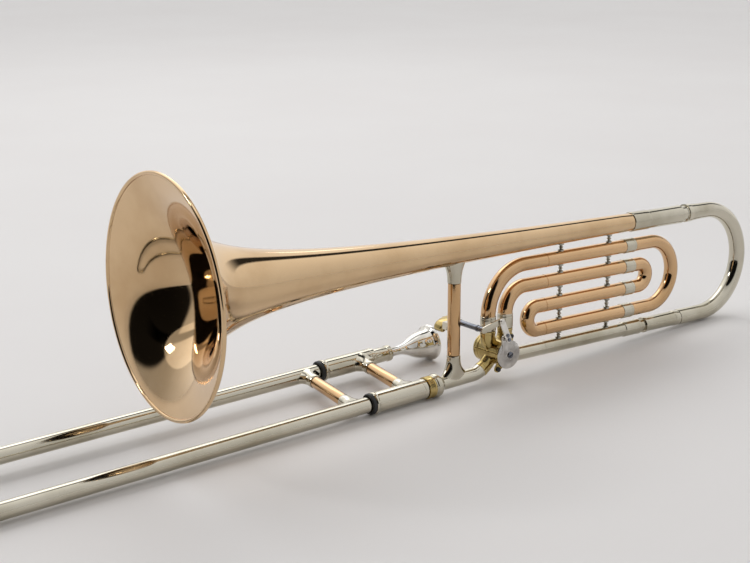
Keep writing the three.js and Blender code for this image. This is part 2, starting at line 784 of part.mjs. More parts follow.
// A moving crook: its bend, and a smaller leg behind each end that runs inside a fixed tube.
function slidingCrook(upperZ, lowerZ, bendX, legLength) {
  const start = ROW_END_X + 0.4;
  const radius = (upperZ - lowerZ) / 2;
  const route = new Route(start, upperZ, 0)
    .forward(bendX - start)
    .bend(radius, -180)
    .forward(bendX - start);
  const leg = (z) => turned([
    [start - legLength, F_LEG.inner],
    [start - legLength, F_LEG.outer],
    [start, F_LEG.outer],
    [start, F_TUBE.outer],
    [start + 2, F_TUBE.outer],
    [start + 2, F_LEG.inner],
    [start - legLength, F_LEG.inner],
  ], "x", 12).translate(0, 0, z);
  return join(tubeAlong(route, F_TUBE), leg(upperZ), leg(lowerZ));
}

function addValveTubing() {
  const legRun = LEG_TOP_Z - LEG_FOOT_Z;
  const bendX = LEG_A_X + (ROW_Z[0] - LEG_TOP_Z);
  const legAndRow = (legX, row) => {
    const radius = bendX - legX;
    const route = new Route(legX, LEG_FOOT_Z, 90)
      .forward(legRun)
      .bend(radius, -90)
      .forward(ROW_END_X - bendX);
    return join(
      tubeAlong(route, F_TUBE),
      legFerrule().translate(legX, 0, 0),
      ferrule().translate(0, 0, LEG_TOP_Z + radius),
    );
  };
  add(bellSection, "valve_tube_outer", "rose_brass", legAndRow(LEG_A_X));
  add(bellSection, "valve_tube_inner", "rose_brass", legAndRow(LEG_B_X));

  const returnRoute = new Route(ROW_END_X, ROW_Z[2], 180)
    .forward(ROW_END_X - RETURN_BEND_X)
    .bend((ROW_Z[2] - ROW_Z[3]) / 2, 180)
    .forward(ROW_END_X - RETURN_BEND_X);
  const returnTube = join(
    tubeAlong(returnRoute, F_TUBE),
    ferrule().translate(0, 0, ROW_Z[2]),
    ferrule().translate(0, 0, ROW_Z[3]),
  );
  add(bellSection, "valve_tube_return", "rose_brass", returnTube);

  const large = slidingCrook(ROW_Z[0], ROW_Z[3], LARGE_CROOK_X, 60);
  add(bellSection, "valve_tuning_crook", "rose_brass", large);
  const small = slidingCrook(ROW_Z[1], ROW_Z[2], SMALL_CROOK_X, 34);
  add(bellSection, "valve_inner_crook", "rose_brass", small);
}

// ---- small turned braces between the tubes ----
function smallBrace(x, topZ, bottomZ) {
  const foot = bottomZ + GAP;
  const head = topZ - GAP;
  const middle = (foot + head) / 2;
  return turned([
    [foot, 0],
    [foot, 3.3],
    [foot + 0.9, 3.3],
    [foot + 1.5, 1.6],
    [middle, 2.2],
    [head - 1.5, 1.6],
    [head - 0.9, 3.3],
    [head, 3.3],
    [head, 0],
  ], "z", 8).translate(x, 0, 0);
}

function addSmallBraces() {
  SMALL_BRACE_X.forEach((x, column) => {
    const axes = [0, ...ROW_Z, OUTLET_Z];
    const radii = [bellOuterRadius(x), ...ROW_Z.map(() => F_TUBE.outer), 7.5];
    const columnName = ["left", "right"][column];
    for (let i = 0; i < axes.length - 1; i += 1) {
      const geometry = smallBrace(x, axes[i] - radii[i], axes[i + 1] + radii[i + 1]);
      add(bellSection, `small_brace_${columnName}_${i + 1}`, "nickel_silver", geometry);
    }
  });
}

// ---- assembly ----
addInnerSlide();
addOuterSlide();
addBell();
addTuningCrook();
addNeckpipe();
addBellPost();
addOutletPipe();
addValve();
addLever();
addValveTubing();
addSmallBraces();

bellSection.rotation.set(-rad(BELL_LEAN_DEG), rad(BELL_PITCH_DEG), 0);
const neckJoint = new THREE.Vector3(NECK_JOINT.x, 0, NECK_JOINT.z);
bellSection.position.copy(neckJoint).applyEuler(bellSection.rotation).negate();

// The instrument lies on three points: the bow's near ferrule, the lock nut and the mouthpiece rim.
const restingPlane = new THREE.Plane().setFromCoplanarPoints(
  new THREE.Vector3(FERRULE_START, 0, -8.9),
  new THREE.Vector3(-LOCK_NUT_RADIUS / 2, 0, -LOCK_NUT_RADIUS),
  new THREE.Vector3(MOUTHPIECE_RIM.x - 2, SLIDE_SPACING, -MOUTHPIECE_RIM.radius),
);
const trombone = new THREE.Group();
trombone.add(slideSection, bellSection);
trombone.quaternion.setFromUnitVectors(restingPlane.normal, new THREE.Vector3(0, 0, 1));
trombone.updateMatrixWorld(true);

const box = new THREE.Box3().setFromObject(trombone, true);
const middle = box.getCenter(new THREE.Vector3());
trombone.position.set(-middle.x, -middle.y, -box.min.z);

export default trombone;
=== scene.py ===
"""Looks of a tenor trombone with a thumb valve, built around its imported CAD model, in metres.

Shapes are written in millimetres in two frames: the slide frame (X along the slide legs, origin where the
neckpipe leaves the lock nut) and the bell frame (X along the bell's axis, Z up in the plane of its tubing,
origin in the bell's mouth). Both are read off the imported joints, so the pieces follow the CAD.
"""
import json
import math

import bmesh
import bpy
import numpy as np
from mathutils import Matrix, Vector

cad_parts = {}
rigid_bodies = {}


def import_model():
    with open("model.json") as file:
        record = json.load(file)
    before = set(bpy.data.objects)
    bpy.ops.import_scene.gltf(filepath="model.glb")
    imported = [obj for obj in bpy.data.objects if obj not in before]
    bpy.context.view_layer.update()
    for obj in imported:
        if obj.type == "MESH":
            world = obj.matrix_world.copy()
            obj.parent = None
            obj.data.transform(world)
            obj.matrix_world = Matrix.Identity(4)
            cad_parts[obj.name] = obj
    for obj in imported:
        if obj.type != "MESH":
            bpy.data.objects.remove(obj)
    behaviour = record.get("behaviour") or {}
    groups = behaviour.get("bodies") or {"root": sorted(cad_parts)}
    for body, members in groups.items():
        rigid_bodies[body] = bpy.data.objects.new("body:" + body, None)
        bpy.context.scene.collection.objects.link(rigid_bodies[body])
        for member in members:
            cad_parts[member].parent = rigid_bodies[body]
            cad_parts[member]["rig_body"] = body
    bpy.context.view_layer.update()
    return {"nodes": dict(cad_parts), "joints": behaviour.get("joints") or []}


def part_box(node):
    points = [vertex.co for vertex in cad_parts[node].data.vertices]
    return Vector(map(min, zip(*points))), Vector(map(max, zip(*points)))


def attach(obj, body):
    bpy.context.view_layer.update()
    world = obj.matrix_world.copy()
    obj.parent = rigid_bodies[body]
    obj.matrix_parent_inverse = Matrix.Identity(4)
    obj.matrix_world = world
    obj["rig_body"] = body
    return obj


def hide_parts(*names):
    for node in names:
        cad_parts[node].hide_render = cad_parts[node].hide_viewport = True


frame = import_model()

JOINTS = {joint["name"]: joint for joint in frame["joints"]}
MM = 0.001

# ---- design dimensions, in millimetres; tubes are (outer radius, inner radius) ----
GAP = 0.3
SPACING = 88
LEGS = {"near": 0, "far": SPACING}
OUTER_TUBE, INNER_TUBE = (7.8, 7.4), (6.95, 6.4)
LEADPIPE, LEADPIPE_LENGTH = (6.1, 5.5), 150
STOCKING_RADIUS, STOCKING_LENGTH = 7.1, 115
BOW_X = -747
BOW_TUBE = (8, 7.1)
BOW_TIP_X = BOW_X - SPACING / 2 - BOW_TUBE[0]
HINGE_X, HINGE_Y = BOW_X - 4, 15.6
BARREL_MOUTH, BARREL_END, BARREL_RADIUS = -84.5, -20.5, 10.2
INNER_BRACE_X, OUTER_BRACE_X = -37.5, -104
NUT_RADIUS = 12

BELL_RADIUS, BEAD, BELL_LENGTH, BELL_WALL = 108, 2, 566, 1
FLARE_SCALE, FLARE_POWER = 18.7, 0.7
PITCH_DEG = 2.55
NECK, NECK_BEND, NECK_TURN_DEG, NECK_TRIM_DEG = (303, -134.5), 24, 50, 24
PIPE, F_TUBE, F_LEG, MAIN_TUBE = (7.3, 6.7), (7.65, 7), (6.5, 5.9), (9, 8.2)
ROW_Z = (-26, -49, -74, -99.5)
LEG_A, LEG_B, LEG_TOP, LEG_FOOT = 365, 388, -74, -89
ROW_END, RETURN_X, LARGE_X, SMALL_X = 572.5, 432, 601, 583
JOINT_LINE_X = 440
LARGE_LEG, SMALL_LEG = 60, 34
BRACE_X = (464.5, 535.9)
OUTLET_Z, OUTLET_RADIUS, CROOK_X = -121, 7.5, 692
TUNING_GAP, SLEEVE_STEP, UPPER_END, LOWER_START, LOWER_END, LOWER_LEG_END = 8, 592, 646, 561.5, 586, 651.5
UPPER_LEG, LOWER_LEG = 74, 72
VALVE_X, VALVE_Z, VALVE_RADIUS, VALVE_HALF = 376, -112, 14.4, 16.5
KNUCKLE_BEND = 14
FRONT_Y, DISC_Y = -19, -19.6
PIN_RADIUS, PIN_DEG = 19, 108
BUMPER_DEG = {"upper": PIN_DEG - 28, "lower": PIN_DEG + 118}
SHAFT = (339, -79.5)
ARM_RADIUS, ARM_DEG = 22.5, 15
POST_X, POST_LOW, POST_HIGH = 320, -107, -33


def frame_matrix(origin, x_axis, y_axis):
    """Millimetres in a frame with these axes to metres in the row frame."""
    x = Vector(x_axis).normalized()
    z = x.cross(Vector(y_axis)).normalized()
    y = z.cross(x)
    turn = Matrix((x, y, z)).transposed().to_4x4()
    return Matrix.Translation(origin) @ turn @ Matrix.Scale(MM, 4)


def middle(node):
    low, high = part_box(node)
    return (low + high) / 2


SLIDE = frame_matrix(
    Vector(JOINTS["lock_ring_turn"]["pos_m"]),
    JOINTS["lock_ring_turn"]["axis"],
    middle("inner_tube_far") - middle("inner_tube_near"),
)
BELL_TURN = frame_matrix(
    (0, 0, 0), JOINTS["main_tuning"]["axis"], JOINTS["thumb_lever_pivot"]["axis"]
)
BELL = (
    Matrix.Translation(
        Vector(JOINTS["thumb_lever_pivot"]["pos_m"]) - BELL_TURN @ Vector((SHAFT[0], 0, SHAFT[1]))
    )
    @ BELL_TURN
)


# ---- shapes: each is (points, faces), in millimetres ----
def grid(rings, closed=True):
    """Joins equal rings of points in turn, and the last to the first if closed."""
    count, sides = len(rings), len(rings[0])
    points = [tuple(p) for ring_points in rings for p in ring_points]
    faces = []
    for i in range(count if closed else count - 1):
        j = (i + 1) % count
        for k in range(sides):
            n = (k + 1) % sides
            faces.append((i * sides + k, i * sides + n, j * sides + n, j * sides + k))
    return points, faces


def soften(profile, radius, steps=3, straight_deg=160):
    """Rounds the corners of a closed profile, apart from its ends on the axis and its straight joins."""
    made = []
    count = len(profile)
    for i, (a, r) in enumerate(profile):
        before, after = np.array(profile[i - 1]), np.array(profile[(i + 1) % count])
        here = np.array((a, r), float)
        back, on = before - here, after - here
        lengths = np.linalg.norm(back), np.linalg.norm(on)
        if r < 1e-6 or min(lengths) < 1e-6:
            made.append((a, r))
            continue
        turn = math.acos(max(-1, min(1, float(back @ on) / (lengths[0] * lengths[1]))))
        if turn > math.radians(straight_deg):
            made.append((a, r))
            continue
        near = here + back / lengths[0] * min(radius, lengths[0] * 0.45)
        far = here + on / lengths[1] * min(radius, lengths[1] * 0.45)
        for k in range(steps + 1):
            t = k / steps
            made.append(tuple(near * (1 - t) ** 2 + here * 2 * t * (1 - t) + far * t * t))
    return made


def turned(profile, axis="x", at=(0, 0, 0), sides=64, rounding=0.35):
    """A solid of revolution from a closed profile of (distance along the axis, radius)."""
    rings = []
    for along, radius in soften(profile, rounding):
        points = []
        for k in range(sides):
            angle = 2 * math.pi * k / sides
            u, v = radius * math.cos(angle), radius * math.sin(angle)
            point = {"x": (along, u, v), "y": (v, along, u), "z": (u, v, along)}[axis]
            points.append([p + q for p, q in zip(point, at)])
        rings.append(points)
    return grid(rings)


def hollow(start, end, outer, inner, axis="x", at=(0, 0, 0), sides=64, rounding=0.25):
    """A straight tube."""
    return turned([(start, inner), (start, outer), (end, outer), (end, inner)], axis, at, sides, rounding)


def rod(start, end, radius, axis="x", at=(0, 0, 0), sides=48, rounding=0.3):
    """A straight bar with softened ends."""
    return turned([(start, 0), (start, radius), (end, radius), (end, 0)], axis, at, sides, rounding)


class Route:
    """A flat route of straight runs and bends, kept as (x, y, heading, inset)."""

    def __init__(self, x, y, heading_deg):
        self.x, self.y, self.heading = x, y, math.radians(heading_deg)
        self.stations = [(x, y, self.heading, 0)]

    def forward(self, length, inset=0):
        self.x += length * math.cos(self.heading)
        self.y += length * math.sin(self.heading)
        self.stations.append((self.x, self.y, self.heading, inset))
        return self

    def groove(self, width=1.3, depth=0.55):
        """A fine joint line round the tube."""
        for share, sink in ((0.1, 0.6), (0.4, 1), (0.4, 0.6), (0.1, 0)):
            self.forward(width * share, depth * sink)
        return self

    def bend(self, radius, angle_deg, step_deg=5):
        steps = math.ceil(abs(angle_deg) / step_deg)
        step = math.radians(angle_deg) / steps
        chord = 2 * radius * math.sin(abs(step) / 2)
        for _ in range(steps):
            self.x += chord * math.cos(self.heading + step / 2)
            self.y += chord * math.sin(self.heading + step / 2)
            self.heading += step
            self.stations.append((self.x, self.y, self.heading, 0))
        return self


def in_bell(x, y):
    """A flat route's point in the bell frame, whose tubing stands upright."""
    return Vector((x, 0, y))


def in_slide(x, y):
    """A flat route's point in the slide frame, whose tubes lie flat."""
    return Vector((x, y, 0))


def tube(route, size, lift=in_bell, sides=48):
    """A pipe along a route; size is (outer radius, inner radius), or one radius for a solid bar."""
    outer, inner = size if isinstance(size, tuple) else (size, 0)
    across = lift(0, 0) + (Vector((0, 1, 0)) if lift is in_bell else Vector((0, 0, 1)))
    rings = []

    def ring_at(station, radius):
        x, y, heading, _ = station
        centre = lift(x, y)
        side = lift(-math.sin(heading), math.cos(heading))
        return [
            centre + radius * (side * math.cos(a) + across * math.sin(a))
            for a in (2 * math.pi * k / sides for k in range(sides))
        ]

    for station in route.stations:
        rings.append(ring_at(station, outer - station[3]))
    for station in reversed(route.stations):
        rings.append(ring_at(station, inner))
    return grid(rings)


def plate(outline, start, end, rounding=0.35, axis="y"):
    """A flat bar with rounded edges: an outline in X and Z, thick along Y, or in X and Y, thick along Z."""
    work = bmesh.new()

    def spot(a, b, depth):
        return (a, depth, b) if axis == "y" else (a, b, depth)

    low = [work.verts.new(spot(a, b, start)) for a, b in outline]
    high = [work.verts.new(spot(a, b, end)) for a, b in outline]
    work.faces.new(low)
    work.faces.new(list(reversed(high)))
    for i in range(len(outline)):
        j = (i + 1) % len(outline)
        work.faces.new((low[i], high[i], high[j], low[j]))
    rim = [e for e in work.edges if (e.verts[0] in low) == (e.verts[1] in low)]
    bmesh.ops.bevel(work, geom=rim, offset=rounding, segments=3, affect="EDGES", profile=0.5)
    return fragment(work)


def fragment(work):
    """The points and faces of a bmesh, which is then freed."""
    work.verts.index_update()
    points = [tuple(v.co) for v in work.verts]
    faces = [tuple(v.index for v in f.verts) for f in work.faces]
    work.free()
    return points, faces


def strap(ax, az, bx, bz, half_a, half_b=None, steps=14):
    """The outline of a bar with round ends between two points."""
    half_b = half_a if half_b is None else half_b
    along = math.atan2(bz - az, bx - ax)
    points = []
    for x, z, half, turn in ((bx, bz, half_b, -0.5), (ax, az, half_a, 0.5)):
        for i in range(steps + 1):
            angle = along + math.pi * (turn + i / steps)
            points.append((x + half * math.cos(angle), z + half * math.sin(angle)))
    return points


def moved(shape, matrix):
    return [tuple(matrix @ Vector(p)) for p in shape[0]], shape[1]


def coil(radius, pitch, turns, wire, axis="z", at=(0, 0, 0), sides=8, steps=24):
    """A coil spring of round wire, with flat ends."""
    rings = []
    total = round(turns * steps)
    for i in range(total + 1):
        angle = 2 * math.pi * turns * i / total
        centre = Vector((radius * math.cos(angle), radius * math.sin(angle), pitch * turns * i / total))
        out = Vector((math.cos(angle), math.sin(angle), 0))
        up = Vector((0, 0, 1))
        ring_points = []
        for k in range(sides):
            a = 2 * math.pi * k / sides
            p = centre + wire * (out * math.cos(a) + up * math.sin(a))
            p = p if axis == "z" else Vector((p.x, p.z, -p.y))
            ring_points.append(p + Vector(at))
        rings.append(ring_points)
    points, faces = grid(rings, closed=False)
    faces.append(tuple(range(sides)))
    faces.append(tuple(reversed(range(total * sides, (total + 1) * sides))))
    return points, faces


# ---- materials ----
def socket(node, name, value):
    node.inputs[name].default_value = value


def noise(tree, coordinates, scale, detail, stretch=(1, 1, 1), roughness=0.55):
    mapping = tree.nodes.new("ShaderNodeMapping")
    socket(mapping, "Scale", stretch)
    tree.links.new(coordinates, mapping.inputs["Vector"])
    texture = tree.nodes.new("ShaderNodeTexNoise")
    socket(texture, "Scale", scale)
    socket(texture, "Detail", detail)
    socket(texture, "Roughness", roughness)
    tree.links.new(mapping.outputs["Vector"], texture.inputs["Vector"])
    return texture.outputs["Fac"]


def ramp(tree, factor, stops):
    node = tree.nodes.new("ShaderNodeValToRGB")
    elements = node.color_ramp.elements
    while len(elements) < len(stops):
        elements.new(0.5)
    for element, (place, colour) in zip(elements, stops):
        element.position = place
        element.color = (*colour, 1) if len(colour) == 3 else colour
    tree.links.new(factor, node.inputs["Fac"])
    return node.outputs["Color"]


def grey(value):
    return (value, value, value)


def scaled(tree, factor, low, high):
    node = tree.nodes.new("ShaderNodeMapRange")
    socket(node, "From Min", 0.3)
    socket(node, "From Max", 0.7)
    socket(node, "To Min", low)
    socket(node, "To Max", high)
    tree.links.new(factor, node.inputs["Value"])
    return node.outputs["Result"]


def new_material(name):
    material = bpy.data.materials.new(name)
    material.use_nodes = True
    tree = material.node_tree
    shader = tree.nodes["Principled BSDF"]
    coordinates = tree.nodes.new("ShaderNodeTexCoord").outputs["Object"]
    return material, tree, shader, coordinates


def metal(name, clean, worn, rough, bump=0.02, grain=(3, 60, 60), coat=0.0, patches=14):
    """Polished metal: faint tarnish in patches, wiping marks along the tubes, and hand-lapped relief."""
    material, tree, shader, coordinates = new_material(name)
    tarnish = noise(tree, coordinates, patches, 5)
    colour = ramp(tree, tarnish, [(0.34, worn), (0.56, clean), (0.8, tuple(min(1, c * 1.06) for c in clean))])
    edges = tree.nodes.new("ShaderNodeNewGeometry").outputs["Pointiness"]
    wear = ramp(tree, edges, [(0.5, grey(0)), (0.62, grey(1))])
    mix = tree.nodes.new("ShaderNodeMix")
    mix.data_type = "RGBA"
    tree.links.new(wear, mix.inputs["Factor"])
    tree.links.new(colour, mix.inputs["A"])
    mix.inputs["B"].default_value = (*(min(1, c * 1.12) for c in clean), 1)
    tree.links.new(mix.outputs["Result"], shader.inputs["Base Color"])
    smears = noise(tree, coordinates, 30, 6, grain)
    tree.links.new(scaled(tree, smears, *rough), shader.inputs["Roughness"])
    relief = tree.nodes.new("ShaderNodeBump")
    socket(relief, "Strength", bump)
    socket(relief, "Distance", 0.0004)
    tree.links.new(noise(tree, coordinates, 60, 4, grain), relief.inputs["Height"])
    tree.links.new(relief.outputs["Normal"], shader.inputs["Normal"])
    socket(shader, "Metallic", 1.0)
    socket(shader, "Coat Weight", coat)
    socket(shader, "Coat Roughness", 0.04)
    return material


def soft_material(name, light, dark, rough, scale, bump):
    """Rubber or cork: fine grain in its colour, roughness and relief."""
    material, tree, shader, coordinates = new_material(name)
    grain = noise(tree, coordinates, scale, 6)
    tree.links.new(ramp(tree, grain, [(0.35, dark), (0.65, light)]), shader.inputs["Base Color"])
    tree.links.new(scaled(tree, grain, *rough), shader.inputs["Roughness"])
    relief = tree.nodes.new("ShaderNodeBump")
    socket(relief, "Strength", bump)
    socket(relief, "Distance", 0.0005)
    tree.links.new(grain, relief.inputs["Height"])
    tree.links.new(relief.outputs["Normal"], shader.inputs["Normal"])
    return material


MATERIALS = {
    "rose_brass": metal("rose_brass", (0.64, 0.415, 0.225), (0.54, 0.33, 0.155), (0.04, 0.10), coat=0.2),
    "bell_brass": metal("bell_brass", (0.68, 0.48, 0.28), (0.58, 0.39, 0.21), (0.03, 0.08), coat=0.25),
    "yellow_brass": metal("yellow_brass", (0.52, 0.40, 0.17), (0.30, 0.21, 0.07), (0.06, 0.16), patches=60),
    "nickel_silver": metal("nickel_silver", (0.58, 0.54, 0.445), (0.44, 0.40, 0.305), (0.05, 0.12)),
    "dull_nickel": metal("dull_nickel", (0.40, 0.39, 0.34), (0.22, 0.20, 0.16), (0.15, 0.3), patches=200),
    "silver_plate": metal("silver_plate", (0.76, 0.74, 0.70), (0.56, 0.52, 0.45), (0.03, 0.09), patches=40),
    "plated_steel": metal("plated_steel", (0.66, 0.64, 0.61), (0.30, 0.28, 0.26), (0.06, 0.16), patches=50),
    "spring_steel": metal("spring_steel", (0.36, 0.36, 0.37), (0.2, 0.19, 0.18), (0.22, 0.4), patches=90),
    "dark_steel": metal("dark_steel", (0.19, 0.20, 0.23), (0.08, 0.085, 0.10), (0.12, 0.26), patches=80),
    "black_rubber": soft_material("black_rubber", (0.014, 0.014, 0.015), grey(0.006), (0.4, 0.6), 900, 0.25),
    "cork": soft_material("cork", (0.52, 0.34, 0.18), (0.27, 0.15, 0.07), (0.75, 0.95), 700, 0.6),
}


def piece(name, shapes, space, look, *nodes, body=None, smooth_deg=40):
    """One visible piece: it rides on the body of the CAD nodes it stands for, unless a body is given."""
    points, faces = [], []
    for shape_points, shape_faces in shapes:
        start = len(points)
        points.extend(shape_points)
        faces.extend(tuple(i + start for i in face) for face in shape_faces)
    mesh = bpy.data.meshes.new(name)
    mesh.from_pydata(points, [], faces)
    work = bmesh.new()
    work.from_mesh(mesh)
    bmesh.ops.remove_doubles(work, verts=work.verts, dist=1e-4)
    bmesh.ops.recalc_face_normals(work, faces=work.faces)
    work.to_mesh(mesh)
    work.free()
    mesh.transform(space)
    mesh.shade_smooth()
    mesh.set_sharp_from_angle(angle=math.radians(smooth_deg))
    made = bpy.data.objects.new(name, mesh)
    bpy.context.scene.collection.objects.link(made)
    mesh.materials.append(MATERIALS[look])
    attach(made, body or frame["nodes"][nodes[0]]["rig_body"])
    if nodes:
        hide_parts(*nodes)
    return made


# ---- hand slide ----
def brace_socket(y, direction, x, tube_radius, end):
    """A saddle that flares from a straight collar onto the tube, with its edge following the tube."""
    rings = []
    sides = 64
    collar, wide, tall = 6.9, 12.4, tube_radius * 0.97

    def ring_at(share, shrink=0.0, lower=0.0):
        spread = share**2.4
        half_x = collar + (wide - collar) * spread - shrink
        half_z = collar + (tall - collar) * spread - shrink
        made = []
        for k in range(sides):
            angle = 2 * math.pi * k / sides
            px, pz = half_x * math.cos(angle), half_z * math.sin(angle)
            foot = math.sqrt(max(0, (tube_radius + 0.15) ** 2 - pz * pz)) - lower
            py = (end - 5) + (foot - (end - 5)) * share
            made.append((x + px, y + direction * py, pz))
        return made

    centre_y = y + direction * (end - 0.6)
    rings.append([(x, centre_y, 0)] * sides)
    for radius, drop in ((5.2, 0.6), (5.6, 0.6), (6.3, 0.0), (6.75, 0.12), (6.9, 0.4)):
        rings.append([
            (x + radius * math.cos(a), y + direction * (end - drop), radius * math.sin(a))
            for a in (2 * math.pi * k / sides for k in range(sides))
        ])
    for i in range(15):
        rings.append(ring_at(i / 14))
    rings.append(ring_at(1, 0.25, 0.3))
    rings.append(ring_at(1, 1.6, 0.6))
    rings.append([(x, y + direction * (tube_radius - 1.2), 0)] * sides)
    return grid(rings, closed=False)


def add_brace(prefix, x, tube_radius):
    """A hand brace across the slide: a saddle on each leg and the bar between them."""
    end = tube_radius + 12
    for side, y in LEGS.items():
        shape = brace_socket(y, -1 if y else 1, x, tube_radius, end)
        piece(f"{prefix}_saddle_{side}", [shape], SLIDE, "nickel_silver", f"{prefix}_socket_{side}")
    bar = hollow(end + GAP, SPACING - end - GAP, 6.2, 5.4, "y", (x, 0, 0))
    piece(f"{prefix}_bar", [bar], SLIDE, "rose_brass", f"{prefix}_tube")


def add_inner_slide():
    add_inner_legs()
    add_brace("inner_brace", INNER_BRACE_X, BARREL_RADIUS)
    add_collar_and_nut()
    add_receiver_and_mouthpiece()


def add_inner_legs():
    tip = BOW_X + 32
    for side, y in LEGS.items():
        at = (0, y, 0)
        leg = turned([
            (tip, INNER_TUBE[1]), (tip, STOCKING_RADIUS), (tip + STOCKING_LENGTH, STOCKING_RADIUS),
            (tip + STOCKING_LENGTH + 1.5, INNER_TUBE[0]), (BARREL_END, INNER_TUBE[0]),
            (BARREL_END, INNER_TUBE[1]),
        ], at=at)
        piece(f"inner_leg_{side}", [leg], SLIDE, "nickel_silver", f"inner_tube_{side}")
        grip = INNER_TUBE[0] + GAP
        mouth, end, radius = BARREL_MOUTH, BARREL_END, BARREL_RADIUS
        barrel = turned([
            (mouth, 8.4), (mouth, radius), (mouth + 0.9, 11), (mouth + 2.2, 11), (mouth + 3.4, radius),
            (mouth + 4.6, 9.7), (mouth + 6, 9.9), (mouth + 9, radius), (end - 6, radius), (end - 5.6, 9.95),
            (end - 5, 9.95), (end - 4.6, radius), (end - 1, radius), (end, 9.4), (end, grip), (end - 10, grip),
            (end - 10, 8.4),
        ], at=at)
        piece(f"barrel_{side}", [barrel], SLIDE, "nickel_silver", f"cork_barrel_{side}")
        ring_shape = turned([
            (BARREL_MOUTH - 4.5, 8.3), (BARREL_MOUTH - 4.5, 9.8), (BARREL_MOUTH - 3.4, 10.5),
            (BARREL_MOUTH - 1, 10.5), (BARREL_MOUTH - GAP, 10.2), (BARREL_MOUTH - GAP, 8.3),
        ], at=at, rounding=0.5)
        piece(f"buffer_{side}", [ring_shape], SLIDE, "black_rubber", f"barrel_buffer_{side}")


def add_collar_and_nut():
    clear = PIPE[0] + GAP
    start, end = BARREL_END + GAP, -NUT_RADIUS
    thread = [(start, clear), (start, 10.4), (start + 0.5, 11.2)]
    pitch = 1.15
    x = start + 1.2
    while x + pitch < end - 0.4:
        thread += [(x, 11.2), (x + pitch * 0.3, 10.75), (x + pitch * 0.5, 10.75), (x + pitch * 0.8, 11.2)]
        x += pitch
    thread += [(end, 11.2), (end, clear)]
    piece("collar_threaded", [turned(thread, rounding=0.12)], SLIDE, "yellow_brass", "threaded_collar")

    nut_start = -NUT_RADIUS + GAP
    profile = [
        (nut_start, clear), (nut_start, 10.4), (nut_start + 0.5, 11), (nut_start + 1.4, 11),
        (nut_start + 1.8, 10.7), (nut_start + 2.4, 11.4), (nut_start + 3.6, NUT_RADIUS - 0.12),
        (-6.2, NUT_RADIUS - 0.02), (-4.4, 11.6), (-2.6, 10.3), (-1.2, 9), (0, 8.4), (0, clear),
    ]
    piece("nut", [turned(profile, rounding=0.3)], SLIDE, "nickel_silver", "lock_nut")


def add_receiver_and_mouthpiece():
    start = BARREL_END + GAP
    tail = start - LEADPIPE_LENGTH
    outer, inner = LEADPIPE
    receiver = turned([
        (tail, inner), (tail, outer), (start, outer), (start, 7.6), (start + 0.6, 8), (-4.4, 8),
        (-3.6, 7.8), (-3.1, 8.5), (-2.4, 8.6), (0.8, 8.6), (1.6, 8.1), (1.6, 6.6), (start + 2, 6.6),
        (start + 2, inner),
    ], at=(0, SPACING, 0))
    piece("receiver", [receiver], SLIDE, "nickel_silver", "mouthpiece_receiver")

    cup_points = [
        (-17, 4.7), (-17, 5.7), (3, 6.1), (3.6, 5.7), (6, 5.2), (10, 4.9), (14, 5.0), (18, 5.6), (22, 6.8),
        (26, 8.6), (30, 10.7), (34, 12.5), (38, 13.8), (42, 14.6), (46, 15.1), (49.5, 15.4), (51, 15.9),
        (52.2, 17.2), (53.1, 18.6), (54.4, 19.35), (55.8, 19.5), (57, 19), (57.7, 18), (58, 16.6),
        (57.9, 15.2), (57.3, 14), (56, 13.1), (54, 12.75), (50, 12.2), (45, 10.9), (40, 8.7), (36, 6.2),
        (33.4, 4.3), (31, 3.5), (20, 3.8), (0, 4.3),
    ]
    shape = turned(cup_points, at=(0, SPACING, 0), sides=96, rounding=0.2)
    piece("mouthpiece_turned", [shape], SLIDE, "silver_plate", "mouthpiece", smooth_deg=50)


def over_nipple(height):
    """The point at this height above the bow's tube, on the line of the water key's nipple."""
    reach = SPACING / 2 - BOW_TUBE[0] - height
    return BOW_X - reach * math.sin(math.pi / 4), SPACING / 2 - reach * math.cos(math.pi / 4)


def along_nipple(shape, height=0.0):
    """Stands a shape made along Y on the nipple's line."""
    x, y = over_nipple(height)
    return moved(shape, Matrix.Translation((x, y, 0)) @ Matrix.Rotation(-math.pi / 4, 4, "Z"))


def add_outer_slide():
    for side, y in LEGS.items():
        leg = hollow(BOW_X + 1 + GAP, BARREL_MOUTH + 10, *OUTER_TUBE, at=(0, y, 0))
        piece(f"outer_leg_{side}", [leg], SLIDE, "nickel_silver", f"outer_tube_{side}")
    add_brace("outer_brace", OUTER_BRACE_X, OUTER_TUBE[0])
    add_bow()
    add_water_key()


